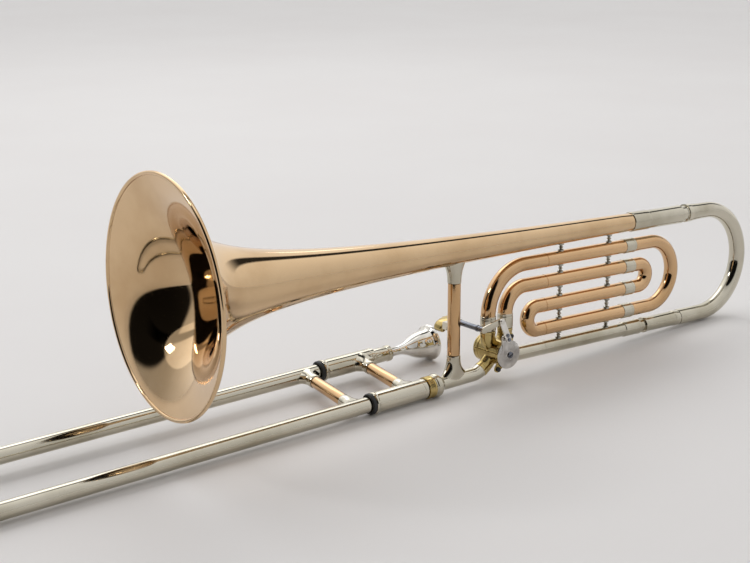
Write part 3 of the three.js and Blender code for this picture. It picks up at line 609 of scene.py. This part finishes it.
def add_bow():
    centre = SPACING / 2
    bow = [tube(Route(BOW_X, 0, 180).bend(centre, -180), BOW_TUBE, in_slide)]
    for y in LEGS.values():
        bow.append(turned([
            (BOW_X - 2, 8.05), (BOW_X - 2, 8.5), (BOW_X - 1.2, 8.9), (BOW_X + 4, 8.9), (BOW_X + 4.4, 8.7),
            (BOW_X + 5, 8.7), (BOW_X + 5.4, 8.9), (BOW_X + 24, 8.9), (BOW_X + 25, 8.5), (BOW_X + 25, 8.1),
        ], at=(0, y, 0)))
    bow.append(turned([
        (BOW_X - 53.5, 0), (BOW_X - 53.5, 5.4), (BOW_X - 52.9, 6), (BOW_X - 51.6, 6), (BOW_X - 49.5, 6.4),
        (BOW_X - 48, 6.4), (BOW_X - 48, 0),
    ], at=(0, centre, 0)))
    nipple = turned([(-0.5, 2.1), (-0.5, 3.9), (0.6, 3.4), (2.6, 3.4), (3, 2.9), (3, 2.1)], "y")
    bow.append(along_nipple(nipple))
    for z in (-2.1, 2.1):
        ear = strap(HINGE_X, 8.4, HINGE_X, 14, 2.6, 2.4)
        bow.append(plate(ear, z - 0.55, z + 0.55, 0.2, axis="z"))
    piece("bow", bow, SLIDE, "nickel_silver", "slide_bow")

    tip = BOW_TIP_X
    knob = turned([
        (tip - 5, 0), (tip - 5, 4), (tip - 4.6, 4.7), (tip - 3.6, 5.3), (tip - 2.6, 5.4), (tip - 1.8, 5.4),
        (tip - 1.8, 0),
    ], at=(0, centre, 0), rounding=0.5)
    piece("bow_end_rubber", [knob], SLIDE, "black_rubber", "bow_bumper")


def add_water_key():
    pad_x, pad_y = over_nipple(7)
    top = HINGE_Y + 2
    lever = [
        plate(strap(pad_x, pad_y, HINGE_X, top, 1.1, 1.0), -2.6, 2.6, 0.3, axis="z"),
        plate(strap(HINGE_X, top, HINGE_X + 20, HINGE_Y + 5, 1.0, 0.8), -2.9, 2.9, 0.35, axis="z"),
        rod(-2.9, 2.9, 1.9, "z", (HINGE_X, HINGE_Y + 0.3, 0)),
        along_nipple(rod(-0.3, 0.6, 3.1, "y"), 5.9),
    ]
    piece("water_key_arm", lever, SLIDE, "nickel_silver", "water_key_lever")
    pad = along_nipple(rod(-1.1, 1.1, 3.5, "y", rounding=0.4), 4.4)
    piece("water_key_pad", [pad], SLIDE, "cork", "water_key_cork")
    wire = coil(3.4, 1, 3, 0.4, at=(HINGE_X, HINGE_Y, 3.8))
    piece("water_key_wire", [wire], SLIDE, "spring_steel", "water_key_spring")


# ---- bell side ----
def flare_radius(x):
    return (BELL_RADIUS - BEAD) * (1 + x / FLARE_SCALE) ** -FLARE_POWER


def bell_point(x, offset):
    """A point this far outside the middle of the bell's wall, square to it."""
    slope = -FLARE_POWER * flare_radius(x) / (FLARE_SCALE + x)
    length = math.hypot(1, slope)
    return x - offset * slope / length, flare_radius(x) + offset / length


def add_bell():
    add_flare()
    add_upper_sleeve()
    add_main_crook()


def add_flare():
    stations = 90
    outer, inner = [], []
    for i in range(stations + 1):
        x = 0.5 + (BELL_LENGTH - 0.5) * (i / stations) ** 2.4
        outer.append(bell_point(x, BELL_WALL / 2))
        inner.append(bell_point(x, -BELL_WALL / 2))
    outer[-1] = (BELL_LENGTH, outer[-1][1])
    inner[-1] = (BELL_LENGTH, inner[-1][1])
    bead = []
    for i in range(19):
        angle = math.radians(256 - 306 * i / 18)
        bead.append((BEAD * math.cos(angle), BELL_RADIUS - BEAD + BEAD * math.sin(angle)))
    profile = bead + outer + list(reversed(inner))
    shape = turned(profile, sides=160, rounding=0.15)
    piece("bell_flare", [shape], BELL, "bell_brass", "bell", smooth_deg=55)


def add_upper_sleeve():
    bore = MAIN_TUBE[0] + 0.08
    start = BELL_LENGTH + GAP
    step = SLEEVE_STEP
    sleeve = turned([
        (start, bore), (start, 10.6), (start + 0.5, 10.9), (step - 0.6, 10.9), (step, 10.45),
        (step + 1, 10.4), (UPPER_END - 1.2, 10.4), (UPPER_END - 0.8, 10.55), (UPPER_END - 0.2, 10.5),
        (UPPER_END, 10.1), (UPPER_END, bore),
    ])
    piece("upper_sleeve", [sleeve], BELL, "nickel_silver", "tuning_sleeve_upper")


def add_main_crook():
    upper, lower = UPPER_END + TUNING_GAP, LOWER_END + TUNING_GAP
    route = Route(upper, 0, 0).forward(1.4, -0.2).forward(0.2, -1.3).forward(6, -1.3).forward(0.3, -0.9)
    route.forward(CROOK_X - 12 - route.x, -0.1).forward(12).bend(-OUTLET_Z / 2, -180, 4)
    route.forward(CROOK_X - LOWER_LEG_END - 1).forward(1, 0.2)
    piece("crook", [tube(route, MAIN_TUBE, sides=56)], BELL, "nickel_silver", "tuning_crook")
    leg = hollow(upper - UPPER_LEG, upper - GAP, *MAIN_TUBE)
    piece("crook_leg_upper", [leg], BELL, "nickel_silver", "tuning_leg_upper")
    tip, end = lower - LOWER_LEG, LOWER_LEG_END
    leg = turned([
        (tip, 5.9), (tip, 6.4), (lower, 6.4), (lower, 8.4), (lower + 0.4, 8.7), (lower + 3, 8.7),
        (lower + 3.4, 8.3), (end - 9, 8.3), (end - 8.5, 8.75), (end - 1.2, 8.75), (end - GAP, 8.5),
        (end - GAP, 5.9),
    ], at=(0, 0, OUTLET_Z))
    piece("crook_leg_lower", [leg], BELL, "nickel_silver", "tuning_leg_lower")


def neck_route():
    """The neckpipe's route towards the valve, whose inlet makes the last part of the bend."""
    back = 18
    pitch = math.radians(PITCH_DEG)
    x, z = NECK[0] - back * math.cos(pitch), NECK[1] - back * math.sin(pitch)
    return Route(x, z, PITCH_DEG).forward(back + 42).bend(NECK_BEND, NECK_TURN_DEG - NECK_TRIM_DEG)


def flange(reach, collar, flat, tube_radius, tube_z, tilt, sign):
    """The post's end: a collar that flares into a saddle on a tube along X."""
    rings = []
    sides = 72
    rings.append([(POST_X, 0, collar)] * sides)
    for radius, drop in ((5.4, 0), (6.3, 0), (6.8, 0.25), (6.95, 0.7)):
        rings.append([
            (POST_X + radius * math.cos(a), radius * math.sin(a), collar + sign * drop)
            for a in (2 * math.pi * k / sides for k in range(sides))
        ])

    def ring_at(share, shrink=0.0, sink=0.0):
        spread = share**2.2
        half_x = 7 + (reach - 7) * spread - shrink
        half_y = 7 + (flat - 7) * spread - shrink
        made = []
        for k in range(sides):
            a = 2 * math.pi * k / sides
            px, py = half_x * math.cos(a), half_y * math.sin(a)
            r = tube_radius + tilt * px
            foot = tube_z - sign * (math.sqrt(max(0, r * r - py * py)) - sink)
            foot += math.tan(math.radians(PITCH_DEG)) * px if sign < 0 else 0
            top = collar + sign * 1.5
            made.append((POST_X + px, py, top + (foot - top) * share))
        return made

    for i in range(17):
        rings.append(ring_at(i / 16))
    rings.append(ring_at(1, 0.3, 0.4))
    rings.append(ring_at(1, 2.5, 0.8))
    rings.append([(POST_X, 0, tube_z - sign * (tube_radius - 1.5))] * sides)
    return grid(rings, closed=False)


def add_neck_and_post():
    piece("neck", [tube(neck_route(), PIPE)], BELL, "nickel_silver", "neckpipe")

    bell_radius = flare_radius(POST_X) + BELL_WALL / 2
    slope = -FLARE_POWER * flare_radius(POST_X) / (FLARE_SCALE + POST_X)
    head = flange(11, POST_HIGH, 10, bell_radius + 0.1, 0, slope, 1)
    piece("post_head", [head], BELL, "nickel_silver", "bell_post_head")
    bar = hollow(POST_LOW, POST_HIGH - GAP, 6.5, 5.6, "z", (POST_X, 0, 0))
    piece("post_bar", [bar], BELL, "rose_brass", "bell_post_tube")
    neck_z = NECK[1] + (POST_X - NECK[0]) * math.tan(math.radians(PITCH_DEG))
    foot = flange(14.5, POST_LOW - GAP, 7.1, PIPE[0] + 0.1, neck_z, 0, -1)
    piece("post_foot", [foot], BELL, "nickel_silver", "bell_post_foot")


def add_outlet():
    start, line, radius = VALVE_X + 21, JOINT_LINE_X, OUTLET_RADIUS
    pipe = turned([
        (start, PIPE[1]), (start, radius), (line, radius), (line + 0.2, 7.32), (line + 0.6, 7.32),
        (line + 0.8, radius), (LOWER_START, radius), (LOWER_START + 0.4, 8.1), (LOWER_START + 1, 8.4),
        (LOWER_END - 3, 8.4), (LOWER_END - 2.6, 8.65), (LOWER_END - 0.5, 8.65), (LOWER_END, 8.3),
        (LOWER_END, PIPE[1]),
    ], at=(0, 0, OUTLET_Z), rounding=0.2)
    piece("outlet", [pipe], BELL, "nickel_silver", "outlet_pipe")


# ---- valve and its lever ----
def knuckle_route(port_deg, turn_deg, side, run_out):
    """From a slanted port of the valve, round a bend and out along X or Z, this far to the valve's side."""
    offset = side - KNUCKLE_BEND * (1 - math.cos(math.pi / 4))
    x = VALVE_X + offset * math.copysign(1, math.cos(math.radians(port_deg)))
    z = VALVE_Z + offset * math.copysign(1, math.sin(math.radians(port_deg)))
    return Route(x, z, port_deg).bend(KNUCKLE_BEND, turn_deg).forward(run_out)


def on_stop_circle(radius, angle_deg):
    angle = math.radians(angle_deg)
    return VALVE_X + radius * math.cos(angle), VALVE_Z + radius * math.sin(angle)


VALVE_AT = (VALVE_X, 0, VALVE_Z)
STOP_PIN = on_stop_circle(PIN_RADIUS, PIN_DEG)


def add_valve():
    add_casing()
    add_rotor_and_rear_cap()
    add_front_plate()
    add_stop_disc()


def add_casing():
    half = VALVE_HALF
    casing = [turned([
        (-half, 13.2), (-half, VALVE_RADIUS), (-half + 1.6, VALVE_RADIUS), (-half + 2, 13.9),
        (half - 4, 13.9), (half - 3.6, VALVE_RADIUS), (half, VALVE_RADIUS), (half, 13.2),
    ], "y", VALVE_AT, sides=80)]
    knuckles = (
        (135, -45, VALVE_X - LEG_A, 3.5),
        (45, 45, LEG_B - VALVE_X, 2.5),
        (-45, 45, VALVE_Z - OUTLET_Z, 3.7),
    )
    for port, turn, side, run in knuckles:
        route = knuckle_route(port, turn, side, run)
        casing.append(tube(route, (7.7, 6.6)))
        x, z = route.x, route.y
        if abs(math.cos(route.heading)) > 0.5:
            casing.append(turned([(x - 1, 7.3), (x - 1, 8), (x + 2.2, 8), (x + 2.2, 7.3)], "x", (0, 0, z)))
        else:
            casing.append(turned([(z - 1, 7.3), (z - 1, 8), (z + 2.2, 8), (z + 2.2, 7.3)], "z", (x, 0, 0)))
    neck = neck_route()
    inlet = Route(neck.x, neck.y, math.degrees(neck.heading)).forward(0.1)
    inlet.forward(0.3, -0.35).forward(2.4, -0.35).forward(0.3).bend(NECK_BEND, NECK_TRIM_DEG - 6).forward(5.4)
    casing.append(tube(inlet, (7.35, 6.6)))
    piece("casing", casing, BELL, "yellow_brass", "valve_casing")


def add_rotor_and_rear_cap():
    core = turned([
        (-19.3, 0), (-19.3, 3), (-15.5, 3), (-15.5, 12.8), (15.5, 12.8), (15.5, 3), (17.6, 3), (17.6, 0),
    ], "y", VALVE_AT)
    piece("rotor_core", [core], BELL, "yellow_brass", "valve_rotor")

    start = VALVE_HALF + GAP
    knurl = []
    sides = 120
    for along, radius, depth in (
        (start, 0, 0), (start, 14.2, 0), (start + 0.3, 14.6, 0.28), (18.5, 14.6, 0.28), (18.8, 14.2, 0),
        (19.3, 13.5, 0), (20.2, 13.1, 0), (20.8, 12.4, 0), (20.6, 10.2, 0), (20.2, 9.8, 0), (20.2, 0, 0),
    ):
        knurl.append([
            (
                VALVE_X + (radius - depth * (k % 2)) * math.sin(2 * math.pi * k / sides),
                along,
                VALVE_Z + (radius - depth * (k % 2)) * math.cos(2 * math.pi * k / sides),
            )
            for k in range(sides)
        ])
    piece("rear_cap", [grid(knurl, closed=False)], BELL, "yellow_brass", "valve_rear_cap")


def add_front_plate():
    front, back = FRONT_Y, -VALVE_HALF - GAP
    bearing = [turned([
        (front, 3.3), (front, VALVE_RADIUS - 0.6), (front + 0.5, VALVE_RADIUS), (back, VALVE_RADIUS),
        (back, 3.3),
    ], "y", VALVE_AT, sides=80)]
    for name, angle in BUMPER_DEG.items():
        x, z = on_stop_circle(PIN_RADIUS, angle)
        root_x, root_z = on_stop_circle(10, angle)
        bearing.append(plate(strap(root_x, root_z, x, z, 4.4, 3.5), front, back, 0.3))
        profile = [(-21.6, 0), (-21.6, 1.9), (-21, 2.4), (front - GAP, 2.4), (front - GAP, 0)]
        stop = turned(profile, "y", (x, 0, z), rounding=0.4)
        piece(f"bumper_{name}", [stop], BELL, "black_rubber", f"stop_bumper_{name}")
    piece("bearing_plate", bearing, BELL, "yellow_brass", "valve_front_plate")


def add_stop_disc():
    disc = [
        turned([
            (-22.2, 0), (-22.2, 6.4), (-21.9, 9), (-21.4, 11.6), (-20.7, 14), (-20.3, 14.8), (-19.9, 15),
            (DISC_Y, 14.6), (DISC_Y, 0),
        ], "y", VALVE_AT, sides=96, rounding=1.2),
        plate(strap(VALVE_X, VALVE_Z, *STOP_PIN, 9.5, 4.1), -21.9, -19.7, 0.4),
        rod(-22.35, -21.5, 5.2, "y", VALVE_AT, rounding=0.2),
    ]
    piece("stop_disc_turned", disc, BELL, "plated_steel", "stop_disc")
    screw = turned([
        (-24.2, 0), (-24.2, 1.8), (-24, 2.7), (-23.5, 3.3), (-22.6, 3.4), (-22.3, 3.4), (-22.3, 0),
    ], "y", VALVE_AT)
    # The screw's slot is not cut: a black bar standing on the head, in the black rubber material, is painted
    # shade for the slot.
    slot = strap(VALVE_X - 2.2, VALVE_Z - 1.2, VALVE_X + 2.2, VALVE_Z + 1.2, 0.45)
    slot_shade_bar = plate(slot, -24.35, -23.9, 0.05)
    piece("disc_screw", [screw], BELL, "dark_steel", "stop_screw")
    piece("disc_screw_slot_shade", [slot_shade_bar], BELL, "black_rubber", body="rotor")


def arm_tip():
    angle = math.radians(ARM_DEG)
    return SHAFT[0] + ARM_RADIUS * math.cos(angle), SHAFT[1] + ARM_RADIUS * math.sin(angle)


def add_lever():
    add_bracket()
    add_thumb_lever()
    add_link()


def add_bracket():
    x, z = SHAFT
    sleeve = turned([
        (-15.4, 2.1), (-15.4, 3), (-15, 3.4), (-13.4, 3.4), (-13, 2.9), (11, 2.9), (11.6, 3.3), (19.4, 3.3),
        (20, 2.9), (20, 2.1),
    ], "y", (x, 0, z))
    piece("lever_sleeve", [sleeve], BELL, "dark_steel", body="horn")
    bracket = [
        plate(strap(POST_X + 4, z, x, z, 3.6, 3.4), 12, 16, 0.5),
        plate([
            (POST_X - 2.2, z - 3.8), (POST_X - 2.2, z + 3.8), (POST_X + 4.4, z + 3.8),
            (POST_X + 4.4, z - 3.8),
        ], 6.9, 15.8, 0.6),
    ]
    piece("bracket", bracket, BELL, "nickel_silver", "lever_bracket")


def add_thumb_lever():
    x, z = SHAFT
    at = (x, 0, z)
    tip_x, tip_z = arm_tip()
    lever = [
        rod(-25, 32, 1.8, "y", at, rounding=0.3),
        plate(strap(x, z, tip_x, tip_z, 3.4, 3.0), -25.2, -23.6, 0.35),
        turned([(22, 0), (22, 3.3), (22.6, 3.8), (23.2, 3.8), (23.6, 3.3), (23.6, 0)], "y", at),
    ]
    piece("lever_arm", lever, BELL, "nickel_silver", "thumb_lever")
    touch = [
        turned([(23.8, 0), (23.8, 3.4), (24.2, 3.8), (31.4, 3.8), (32, 3.3), (32, 0)], "y", at),
        plate([
            (x + 1, z + 2.6), (x - 4, z + 2), (x - 9, z + 0.6), (x - 13, z - 1.6), (x - 15.6, z - 4.6),
            (x - 16, z - 8.4), (x - 14.4, z - 10.4), (x - 12, z - 10.8), (x - 9.5, z - 8.6), (x - 7, z - 6),
            (x - 4, z - 4.4), (x + 1, z - 3),
        ], 24, 36, 0.9),
    ]
    piece("lever_touch", touch, BELL, "yellow_brass", body="thumb_lever")
    rod_cover = turned([
        (-23.4, 1.9), (-23.4, 2.6), (-23, 2.9), (-20, 2.9), (-19.6, 2.6), (-19, 2.6), (-18.6, 2.9),
        (-16, 2.9), (-15.7, 2.6), (-15.7, 1.9),
    ], "y", at)
    piece("lever_shaft_collar", [rod_cover], BELL, "dark_steel", body="thumb_lever")
    wire = coil(3.7, 1.1, 4, 0.45, "y", (x, 16.8, z))
    piece("lever_wire", [wire], BELL, "spring_steel", "lever_spring")


def add_link():
    tip_x, tip_z = arm_tip()
    pin_x, pin_z = STOP_PIN
    link = [
        plate(strap(tip_x, tip_z, pin_x, pin_z, 3.1, 3.2), -27.2, -25.7, 0.35),
        turned([(-28.4, 0), (-28.4, 1.6), (-28, 2.3), (-27.2, 2.4), (-27.2, 0)], "y", (tip_x, 0, tip_z)),
        rod(-27, -22.45, 2.2, "y", (pin_x, 0, pin_z)),
    ]
    piece("link_bar", link, BELL, "silver_plate", "link")
    length = math.hypot(tip_x - pin_x, tip_z - pin_z)
    profile = [(-28.4, 0), (-28.4, 1.3), (-28.1, 1.9), (-27.4, 2.1), (-27.2, 2.1), (-27.2, 0)]
    for index, share in enumerate((0, 5.2 / length)):
        at = (pin_x + (tip_x - pin_x) * share, 0, pin_z + (tip_z - pin_z) * share)
        head = turned(profile, "y", at)
        piece(f"link_screw_{index + 1}", [head], BELL, "dark_steel", body="valve_link")


# ---- valve tubing ----
def ferrule(start, end, axis, at):
    """A nickel sleeve on the valve tubing, with a fine groove near its end."""
    lip, bore = 0.5, F_TUBE[0] + 0.02
    return turned([
        (start, bore), (start, 7.95), (start + lip, 8.2), (end - 3.4, 8.2), (end - 3, 8.0), (end - 2.6, 8.0),
        (end - 2.2, 8.2), (end - lip, 8.2), (end, 7.95), (end, bore),
    ], axis, at, rounding=0.2)


def row_ferrule(z):
    return ferrule(ROW_END - 15, ROW_END, "x", (0, 0, z))


def crook(upper, lower, bend_x, leg_length):
    """A tuning crook of the valve tubing, with its two legs inside the rows."""
    start = ROW_END + 0.4
    radius = (upper - lower) / 2
    route = Route(start, upper, 0).forward(bend_x - start).bend(radius, -180).forward(bend_x - start)
    shapes = [tube(route, F_TUBE)]
    for z in (upper, lower):
        shapes.append(hollow(start - leg_length, start + 2, *F_LEG, at=(0, 0, z), rounding=0.35))
    return shapes


def add_valve_tubing():
    bend_x = LEG_A + (ROW_Z[0] - LEG_TOP)
    for name, leg_x in (("outer", LEG_A), ("inner", LEG_B)):
        radius = bend_x - leg_x
        route = Route(leg_x, LEG_FOOT, 90).forward(LEG_TOP - LEG_FOOT).bend(radius, -90)
        route.forward(JOINT_LINE_X - route.x).groove()
        route.forward(ROW_END - route.x)
        piece(f"row_{name}", [tube(route, F_TUBE)], BELL, "rose_brass", f"valve_tube_{name}")
        z = LEG_TOP + radius
        piece(f"row_{name}_ferrule", [row_ferrule(z)], BELL, "nickel_silver", body="horn")
        foot = ferrule(LEG_FOOT, LEG_TOP, "z", (leg_x, 0, 0))
        piece(f"row_{name}_foot", [foot], BELL, "nickel_silver", body="horn")
    route = Route(ROW_END, ROW_Z[2], 180).forward(ROW_END - JOINT_LINE_X - 0.8).groove()
    route.forward(JOINT_LINE_X - RETURN_X).bend((ROW_Z[2] - ROW_Z[3]) / 2, 180)
    route.forward(JOINT_LINE_X - RETURN_X).groove()
    route.forward(ROW_END - route.x)
    piece("row_return", [tube(route, F_TUBE)], BELL, "rose_brass", "valve_tube_return")
    for index, z in enumerate(ROW_Z[2:]):
        piece(f"row_return_ferrule_{index + 1}", [row_ferrule(z)], BELL, "nickel_silver", body="horn")
    large = crook(ROW_Z[0], ROW_Z[3], LARGE_X, LARGE_LEG)
    piece("large_crook", large, BELL, "rose_brass", "valve_tuning_crook")
    small = crook(ROW_Z[1], ROW_Z[2], SMALL_X, SMALL_LEG)
    piece("small_crook", small, BELL, "rose_brass", "valve_inner_crook")


def turned_brace(x, top, bottom, top_radius, bottom_radius):
    """A small turned pillar between two tubes; its flanges follow them."""
    foot, head = bottom + bottom_radius, top - top_radius
    span = head - foot
    rings = []
    sides = 40
    half = [
        (0, 3.2), (0.09, 3.3), (0.15, 3.1), (0.2, 2.1), (0.24, 1.6), (0.32, 1.45), (0.4, 1.7), (0.44, 2.2),
        (0.5, 2.45),
    ]
    levels = half + [(1 - share, radius) for share, radius in reversed(half[:-1])]
    rings.append([(x, 0, foot - 0.8)] * sides)
    for share, radius in levels:
        made = []
        for k in range(sides):
            a = 2 * math.pi * k / sides
            px, py = radius * math.cos(a), radius * math.sin(a)
            height = foot + span * share
            sag_low = bottom_radius - math.sqrt(bottom_radius**2 - py * py)
            sag_high = top_radius - math.sqrt(top_radius**2 - py * py)
            weight = max(0, 1 - share / 0.2)
            weight_top = max(0, 1 - (1 - share) / 0.2)
            made.append((x + px, py, height - sag_low * weight + sag_high * weight_top))
        rings.append(made)
    rings.append([(x, 0, head + 0.8)] * sides)
    return grid(rings, closed=False)


def add_small_braces():
    axes = (0, *ROW_Z, OUTLET_Z)
    for column, x in zip(("left", "right"), BRACE_X):
        radii = (flare_radius(x) + BELL_WALL / 2, *[F_TUBE[0]] * len(ROW_Z), OUTLET_RADIUS)
        for i in range(len(axes) - 1):
            shape = turned_brace(x, axes[i], axes[i + 1], radii[i], radii[i + 1])
            piece(f"pillar_{column}_{i + 1}", [shape], BELL, "dull_nickel", f"small_brace_{column}_{i + 1}")


add_inner_slide()
add_outer_slide()
add_bell()
add_neck_and_post()
add_outlet()
add_valve()
add_lever()
add_valve_tubing()
add_small_braces()


# ---- stage, in metres ----
CAMERA_PLACE = (-0.5989, -0.9577, 0.4943)
CAMERA_RIGHT = (0.80758, -0.58972, -0.00688)
CAMERA_UP = (0.17819, 0.23285, 0.95605)
LENS_MM, SENSOR_MM = 62.76, 36
SLIT_SIDE = (0, 0.95, -0.3)
DOORWAY = (-0.93, -0.25, 0.14)
AHEAD = (-1, 0, 0.1)
BEHIND = (0.2, 1, 0.2)


def add_floor():
    mesh = bpy.data.meshes.new("floor")
    work = bmesh.new()
    bmesh.ops.create_circle(work, cap_ends=True, segments=96, radius=40)
    work.to_mesh(mesh)
    work.free()
    floor = bpy.data.objects.new("floor", mesh)
    bpy.context.scene.collection.objects.link(floor)
    material, tree, shader, coordinates = new_material("pale_floor")
    mottle = noise(tree, coordinates, 2.2, 3)
    colour = ramp(tree, mottle, [(0.3, (0.80, 0.775, 0.765)), (0.7, (0.82, 0.80, 0.79))])
    tree.links.new(colour, shader.inputs["Base Color"])
    tree.links.new(scaled(tree, noise(tree, coordinates, 300, 4), 0.55, 0.7), shader.inputs["Roughness"])
    mesh.materials.append(material)


def add_area_light(name, place, aim, width, height, power):
    light = bpy.data.lights.new(name, "AREA")
    light.shape = "RECTANGLE"
    light.size, light.size_y = width, height
    light.energy = power
    made = bpy.data.objects.new(name, light)
    made.location = place
    made.rotation_mode = "QUATERNION"
    made.rotation_quaternion = (Vector(aim) - Vector(place)).to_track_quat("-Z", "Y")
    bpy.context.scene.collection.objects.link(made)


def add_sun(name, toward, strength, angle_deg):
    light = bpy.data.lights.new(name, "SUN")
    light.energy = strength
    light.angle = math.radians(angle_deg)
    made = bpy.data.objects.new(name, light)
    made.rotation_mode = "QUATERNION"
    made.rotation_quaternion = Vector(toward).to_track_quat("Z", "Y")
    bpy.context.scene.collection.objects.link(made)


def zone(tree, measure, edge, core, factor):
    """A number that goes smoothly from 1 at a zone's edge to this factor in its core."""
    node = tree.nodes.new("ShaderNodeMapRange")
    node.interpolation_type = "SMOOTHSTEP"
    socket(node, "From Min", edge)
    socket(node, "From Max", core)
    socket(node, "To Min", 1)
    socket(node, "To Max", factor)
    tree.links.new(measure, node.inputs["Value"])
    return node.outputs["Result"]


def maths(tree, operation, first, second=None):
    """The result of a maths node on one or two numbers."""
    node = tree.nodes.new("ShaderNodeMath")
    node.operation = operation
    tree.links.new(first, node.inputs[0])
    if second is not None:
        tree.links.new(second, node.inputs[1])
    return node.outputs[0]


def facing(tree, direction, vector):
    """How far a direction agrees with this one, from -1 to 1."""
    node = tree.nodes.new("ShaderNodeVectorMath")
    node.operation = "DOT_PRODUCT"
    tree.links.new(direction, node.inputs[0])
    node.inputs[1].default_value = Vector(vector).normalized()
    return node.outputs["Value"]


def add_world():
    """A pale studio for the brass to mirror: a dark slit overhead, a dark doorway ahead of the bell."""
    world = bpy.data.worlds.new("studio")
    bpy.context.scene.world = world
    world.use_nodes = True
    tree = world.node_tree
    background = tree.nodes["Background"]
    direction = tree.nodes.new("ShaderNodeTexCoord").outputs["Generated"]
    split = tree.nodes.new("ShaderNodeSeparateXYZ")
    tree.links.new(direction, split.inputs["Vector"])
    height = split.outputs["Z"]
    shade = ramp(tree, height, [
        (0.0, grey(0.62)), (0.3, grey(0.68)), (0.55, grey(0.70)), (0.8, grey(0.72)), (1.0, grey(0.76)),
    ])
    across = maths(tree, "ABSOLUTE", facing(tree, direction, SLIT_SIDE))
    below = zone(tree, height, 0.2, 0.5, 0)
    slit = maths(tree, "MAXIMUM", zone(tree, across, 0.15, 0.08, 0.03), below)
    doorway = zone(tree, facing(tree, direction, DOORWAY), 0.57, 0.63, 0.02)
    dim_front = zone(tree, facing(tree, direction, AHEAD), 0, 0.8, 0.4)
    bright_back = zone(tree, facing(tree, direction, BEHIND), -1, 1, 1.6)
    strength = maths(tree, "MULTIPLY", slit, doorway)
    strength = maths(tree, "MULTIPLY", strength, dim_front)
    strength = maths(tree, "MULTIPLY", strength, bright_back)
    tree.links.new(shade, background.inputs["Color"])
    tree.links.new(strength, background.inputs["Strength"])


def add_camera():
    camera = bpy.data.cameras.new("camera")
    camera.lens = LENS_MM
    camera.sensor_width = SENSOR_MM
    camera.clip_start, camera.clip_end = 0.01, 60
    made = bpy.data.objects.new("camera", camera)
    right, up = Vector(CAMERA_RIGHT), Vector(CAMERA_UP)
    turn = Matrix((right, up, right.cross(up))).transposed().to_4x4()
    made.matrix_world = Matrix.Translation(CAMERA_PLACE) @ turn
    bpy.context.scene.collection.objects.link(made)
    bpy.context.scene.camera = made


add_floor()
add_world()
add_sun("daylight", (-0.35, 0.8, 1.3), 0.45, 70)
add_area_light("key", (-1.64, 0.98, 1.53), (-0.1, 0, 0.1), 0.34, 0.34, 5)
add_area_light("back", (1.0, 1.9, 1.9), (0.3, 0.7, 0), 1.8, 1.2, 8)
add_camera()
bpy.context.scene.view_settings.view_transform = "Standard"
